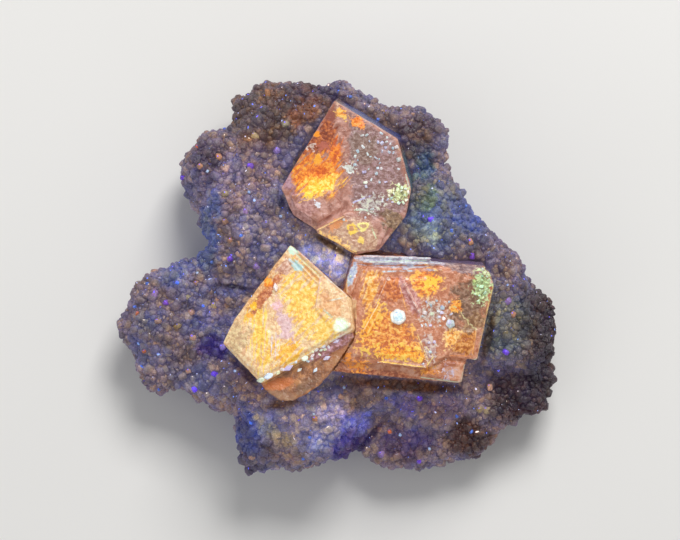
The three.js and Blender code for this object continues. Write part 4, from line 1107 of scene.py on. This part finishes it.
upperLook = {
    "base": [(160, 108, 92), (188, 136, 120), (208, 160, 146)],
    "side": [(70, 44, 34), (104, 72, 56), (150, 110, 70)],
    "paintedGlowSpots": [{"at": (-2.2, 11.6), "size": (3.3, 2.3), "paintedGlow": 0.15}],
    "sidePatches": [
        # painted shade: the upper-right side, in shadow, is coloured dark blue
        {"at": (4.8, 19.5), "size": (6.0, 2.0), "turn": -32, "tone": (56, 66, 122)},
        {"at": (9.4, 13.4), "size": (2.0, 4.3), "tone": (72, 96, 110)},
    ],
    # glow is painted light; edge and paintedEdgeHighlightShare give painted highlights on convex edges
    "paintedGlow": 0.3, "gain": 0.85, "edge": (240, 214, 180), "paintedEdgeHighlightShare": 0.5,
    "grains": {"along": 48, "steep": 70},
    "patches": [
        {"corners": [(0.1, 21.6), (7.2, 17.2), (9.0, 11.1), (8.5, 7.6), (4.3, 6.9), (1.1, 7.9), (1.1, 12.1),
                     (-0.2, 17.2)], "soft": 0.6,
         "tone": [(132, 98, 92), (154, 120, 116), (176, 144, 146)], "ragged": 0.5},
        {"at": (3.1, 15.9), "size": (2.0, 2.3), "tone": [(128, 98, 86), (144, 116, 104), (164, 138, 130)],
         "ragged": 0.8},
        {"corners": [(-0.4, 21.5), (0.3, 17.2), (-0.2, 15.2), (-6.0, 14.4), (-5.2, 15.9)], "soft": 0.8,
         "tone": [(130, 56, 30), (170, 84, 44), (206, 116, 56)], "ragged": 0.8, "grain": "along"},
        {"at": (-2.8, 12.5), "size": (4.3, 3.1), "turn": -6,
         "tone": [(214, 104, 30), (246, 140, 36), (255, 180, 60)], "ragged": 0.6, "grain": "along",
         "soft": 0.45},
        {"at": (-0.4, 15.2), "size": (1.0, 2.5), "turn": -10,
         "tone": [(206, 90, 30), (244, 130, 36), (255, 160, 50)], "ragged": 0.8, "grain": "steep",
         "soft": 0.5},
        {"at": (-2.0, 11.3), "size": (3.1, 1.4), "turn": 12,
         "tone": [(250, 170, 50), (255, 206, 70), (255, 230, 130)], "ragged": 0.7, "grain": "along",
         "soft": 0.45},
        {"at": (-3.6, 10.1), "size": (0.6, 0.5), "tone": (255, 220, 80), "ragged": 0.6},
        {"at": (-2.3, 13.2), "size": (0.8, 0.9), "turn": 30,
         "tone": [(200, 84, 28), (222, 106, 32), (240, 130, 40)], "ragged": 1.8, "grain": "along"},
        {"at": (-2.5, 14.7), "size": (0.6, 0.8), "tone": (255, 176, 50), "ragged": 0.8},
        {"at": (-2.7, 17.7), "size": (0.6, 0.5), "tone": (255, 160, 36), "ragged": 0.6},
        {"at": (0.4, 20.2), "size": (0.9, 0.6), "turn": -40,
         "tone": [(216, 120, 40), (246, 170, 60), (250, 206, 110)], "ragged": 1.2, "grain": "fine"},
        {"at": (-0.9, 19.7), "size": (0.9, 1.0), "tone": (150, 84, 70), "ragged": 0.6},
        {"at": (2.5, 19.1), "size": (1.1, 0.8), "turn": -40,
         "tone": [(226, 110, 40), (244, 136, 50), (252, 170, 70)], "ragged": 0.8, "grain": "fine"},
        {"at": (-3.1, 16.1), "size": (0.5, 0.5), "tone": [(176, 136, 122), (206, 176, 160), (226, 206, 196)],
         "ragged": 1.2, "grain": "fine"},
        {"at": (-1.7, 16.2), "size": (0.8, 0.8), "tone": (190, 106, 86), "ragged": 0.8},
        {"at": (-4.7, 8.1), "size": (2.5, 1.8), "turn": 20,
         "tone": [(166, 116, 108), (192, 140, 132), (210, 164, 156)], "ragged": 0.7},
        {"at": (-5.9, 11.4), "size": (0.8, 2.5), "turn": 15,
         "tone": [(150, 108, 118), (176, 132, 146), (196, 156, 168)], "ragged": 0.8, "soft": 0.8},
        {"at": (-2.5, 8.9), "size": (0.5, 0.4), "tone": [(196, 176, 176), (220, 216, 222), (236, 236, 240)],
         "ragged": 1.4, "grain": "fine"},
        {"corners": [(-2.7, 5.6), (0.8, 7.5), (4.1, 6.9), (5.4, 5.1), (4.8, 3.1), (2.1, 2.7)], "soft": 0.3,
         "tone": [(184, 138, 112), (206, 164, 136), (224, 190, 160)], "ragged": 0.4},
        {"at": (-0.4, 4.2), "size": (2.3, 0.8), "turn": -32,
         "tone": [(226, 160, 80), (246, 190, 100), (255, 214, 130)], "ragged": 1.2, "grain": "fine"},
        {"at": (-0.3, 6.4), "size": (1.3, 0.6), "turn": 28, "tone": (226, 150, 96), "ragged": 0.9,
         "grain": "fine"},
        {"at": (1.8, 5.9), "size": (0.6, 0.6), "tone": (255, 215, 90), "ragged": 0.5, "grain": "fine",
         "soft": 0.2},
        {"at": (1.8, 5.9), "size": (0.3, 0.3), "tone": (206, 150, 112), "ragged": 0.3, "soft": 0.2},
        {"at": (3.2, 6.2), "size": (0.7, 0.6), "tone": (246, 232, 140), "ragged": 0.5, "grain": "fine",
         "soft": 0.2},
        {"at": (3.2, 6.2), "size": (0.4, 0.3), "tone": (202, 156, 122), "ragged": 0.3, "soft": 0.2},
        {"at": (3.0, 4.6), "size": (0.4, 0.6), "tone": (250, 216, 110), "ragged": 1.2, "grain": "fine"},
        {"at": (7.7, 10.3), "size": (1.4, 1.1), "tone": [(120, 120, 80), (180, 186, 130), (226, 226, 170)],
         "ragged": 1.0, "grain": "fine"},
        {"at": (1.3, 13.4), "size": (0.9, 0.5), "turn": -20,
         "tone": [(190, 176, 170), (212, 216, 206), (232, 236, 228)], "ragged": 1.4, "grain": "fine"},
        {"at": (4.1, 9.1), "size": (1.8, 1.1), "turn": 20,
         "tone": [(130, 110, 100), (186, 172, 170), (216, 216, 196)], "ragged": 1.2, "grain": "fine"},
        {"at": (7.2, 6.4), "size": (1.4, 2.3), "turn": 40,
         "tone": [(110, 84, 64), (140, 110, 84), (170, 140, 110)], "ragged": 0.6},
    ],
    "lines": [
        {"from": (-2.8, 5.6), "to": (0.9, 7.5), "width": 0.25, "tone": (246, 206, 140)},
        {"from": (0.9, 7.5), "to": (4.1, 6.9), "width": 0.16, "tone": (226, 190, 170), "least": 0.1},
        {"from": (-2.7, 5.5), "to": (2.1, 2.8), "width": 0.28, "tone": (255, 206, 110)},
        {"from": (-5.0, 8.9), "to": (-0.4, 10.9), "width": 0.20, "tone": (255, 206, 110), "crooked": True,
         "least": 0.1},
        {"from": (4.2, 6.1), "to": (4.8, 4.6), "width": 0.25, "tone": (214, 226, 180)},
        {"from": (1.8, 9.1), "to": (4.3, 10.1), "width": 0.30, "tone": (196, 190, 226), "least": 0.2},
        {"from": (2.1, 8.4), "to": (5.1, 7.9), "width": 0.20, "tone": (196, 220, 196), "crooked": True,
         "least": 0.1},
        {"from": (8.4, 12.8), "to": (8.9, 10.9), "width": 0.18, "tone": (196, 216, 190), "least": 0.1},
        {"from": (0.1, 21.7), "to": (7.2, 17.2), "width": 0.18, "tone": (190, 150, 130), "least": 0.1},
    ],
}
riderLook = {
    "tones": [(0.0, (160, 186, 200)), (0.3, (204, 214, 212)), (0.5, (190, 184, 222)),
              (0.62, (190, 212, 232)), (0.72, (214, 206, 206)), (0.82, (232, 224, 226)),
              (0.92, (206, 226, 206)), (1.0, (224, 232, 190))],
    # rim and rimShare: painted shade on the riders' steep sides
    "rim": (150, 140, 150), "rimShare": 0.3, "clear": 0.4,
    "warm": (1, 1, 1), "cool": (1, 1, 1),
    # glow: painted light, the riders shine by themselves
    "paintedGlow": 0.45, "gain": 1.05, "speckle": 5.5,
    "regions": [
        {"at": (17.9, -1.1), "size": (2.5, 3.3), "gain": (0.9, 1.1, 0.6)},
        {"at": (7.6, 10.1), "size": (2.0, 1.8), "gain": (1.1, 1.15, 0.75)},
    ],
}

coat = druseMaterial("druse", druseLook)
bare = druseMaterial("rockUnderDruse", druseLook, hasTint=False)
settled = druseMaterial("settledGrains", riderLook)
finishes = [
    (coarseDruse, coat), (mediumDruse, coat), (fineDruse, coat), (rock, bare),
    (colouredDruse, druseMaterial("colouredGrains", druseLook, hasOwn=True)),
    (lowerRiders, settled), (upperRiders, settled), (singles, settled),
    (lowerRhombs, rhombMaterial("leftRhomb", leftLook)),
    (upperRhomb, rhombMaterial("upperRhomb", upperLook)),
]
for piece, finish in finishes:
    piece.data.materials.clear()
    piece.data.materials.append(finish)
lowerRhombs.data.materials.append(rhombMaterial("rightRhomb", rightLook))
for face in lowerRhombs.data.polygons:
    face.material_index = 0 if isInside(spotOf(face.center), rhombs["leftGround"]) else 1

for piece, slot, nodes in (
    (rock, "druse", ["druse_matrix"]), (coarseDruse, "druse", ["druse_matrix"]),
    (mediumDruse, "druse", ["druse_matrix"]), (fineDruse, "druse", ["druse_matrix"]),
    (colouredDruse, "druse", ["druse_matrix"]),
    (singles, "rhomb_gold", ["lower_rhomb_pair"]),
    (lowerRhombs, "rhomb_gold", ["lower_rhomb_pair"]), (upperRhomb, "rhomb_peach", ["upper_rhomb"]),
    (lowerRiders, "rhomb_gold", ["lower_rhomb_pair"]), (upperRiders, "rhomb_peach", ["upper_rhomb"]),
):
    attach(piece, "root")
    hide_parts(*nodes)

# floor, light and camera
studio = {
    "floor": (234, 232, 228), "sky": (0.9, 0.92, 0.95, 1), "skyLight": 0.4,
    "lights": [("keyLight", (0.1, 0.34, 0.42), 0.22, 2.3), ("fillLight", (-0.35, -0.15, 0.4), 0.4, 0.3)],
    "aim": (0, 0, 0.01),
    # the camera's distance above this level in metres, and the width that it sees there in millimetres
    "distance": 0.6, "level": 0.0115, "width": 85.6, "middle": (0.3, 0.8), "sensor": 36,
}


def plainMaterial(name, tone):
    material, tree, shader = startMaterial(name)
    places = millimetres(tree)
    shade = remap(tree, noiseOf(tree, places, 0.02, 2.0), 0.3, 0.7, 0.985, 1.0)
    colour = scaleColour(tree, linear(tone)[:3], shade)
    tree.links.new(colour, shader.inputs["Base Color"])
    shader.inputs["Roughness"].default_value = 0.9
    return material


deselectAll()
bpy.ops.mesh.primitive_plane_add(size=2.0)
floor = bpy.context.object
floor.name = "floor"
floor.data.materials.append(plainMaterial("paleFloor", studio["floor"]))


def addSoftLight(name, at, size, power):
    bpy.ops.object.light_add(type="AREA", location=at)
    light = bpy.context.object
    light.name = name
    light.data.size = size
    light.data.energy = power
    light.rotation_euler = (Vector(studio["aim"]) - Vector(at)).to_track_quat("-Z", "Y").to_euler()


for light in studio["lights"]:
    addSoftLight(*light)

world = bpy.data.worlds.new("studio")
bpy.context.scene.world = world
world.use_nodes = True
background = world.node_tree.nodes["Background"]
background.inputs["Color"].default_value = studio["sky"]
background.inputs["Strength"].default_value = studio["skyLight"]

eye = place(*studio["middle"], 0)
bpy.ops.object.camera_add(location=(eye.x, eye.y, studio["distance"] + studio["level"]), rotation=(0, 0, 0))
camera = bpy.context.object
camera.data.sensor_width = studio["sensor"]
camera.data.lens = studio["sensor"] * studio["distance"] / (studio["width"] * mm)
camera.data.clip_start = 0.01
camera.data.clip_end = 10
bpy.context.scene.camera = camera
bpy.context.scene.view_settings.view_transform = "Standard"
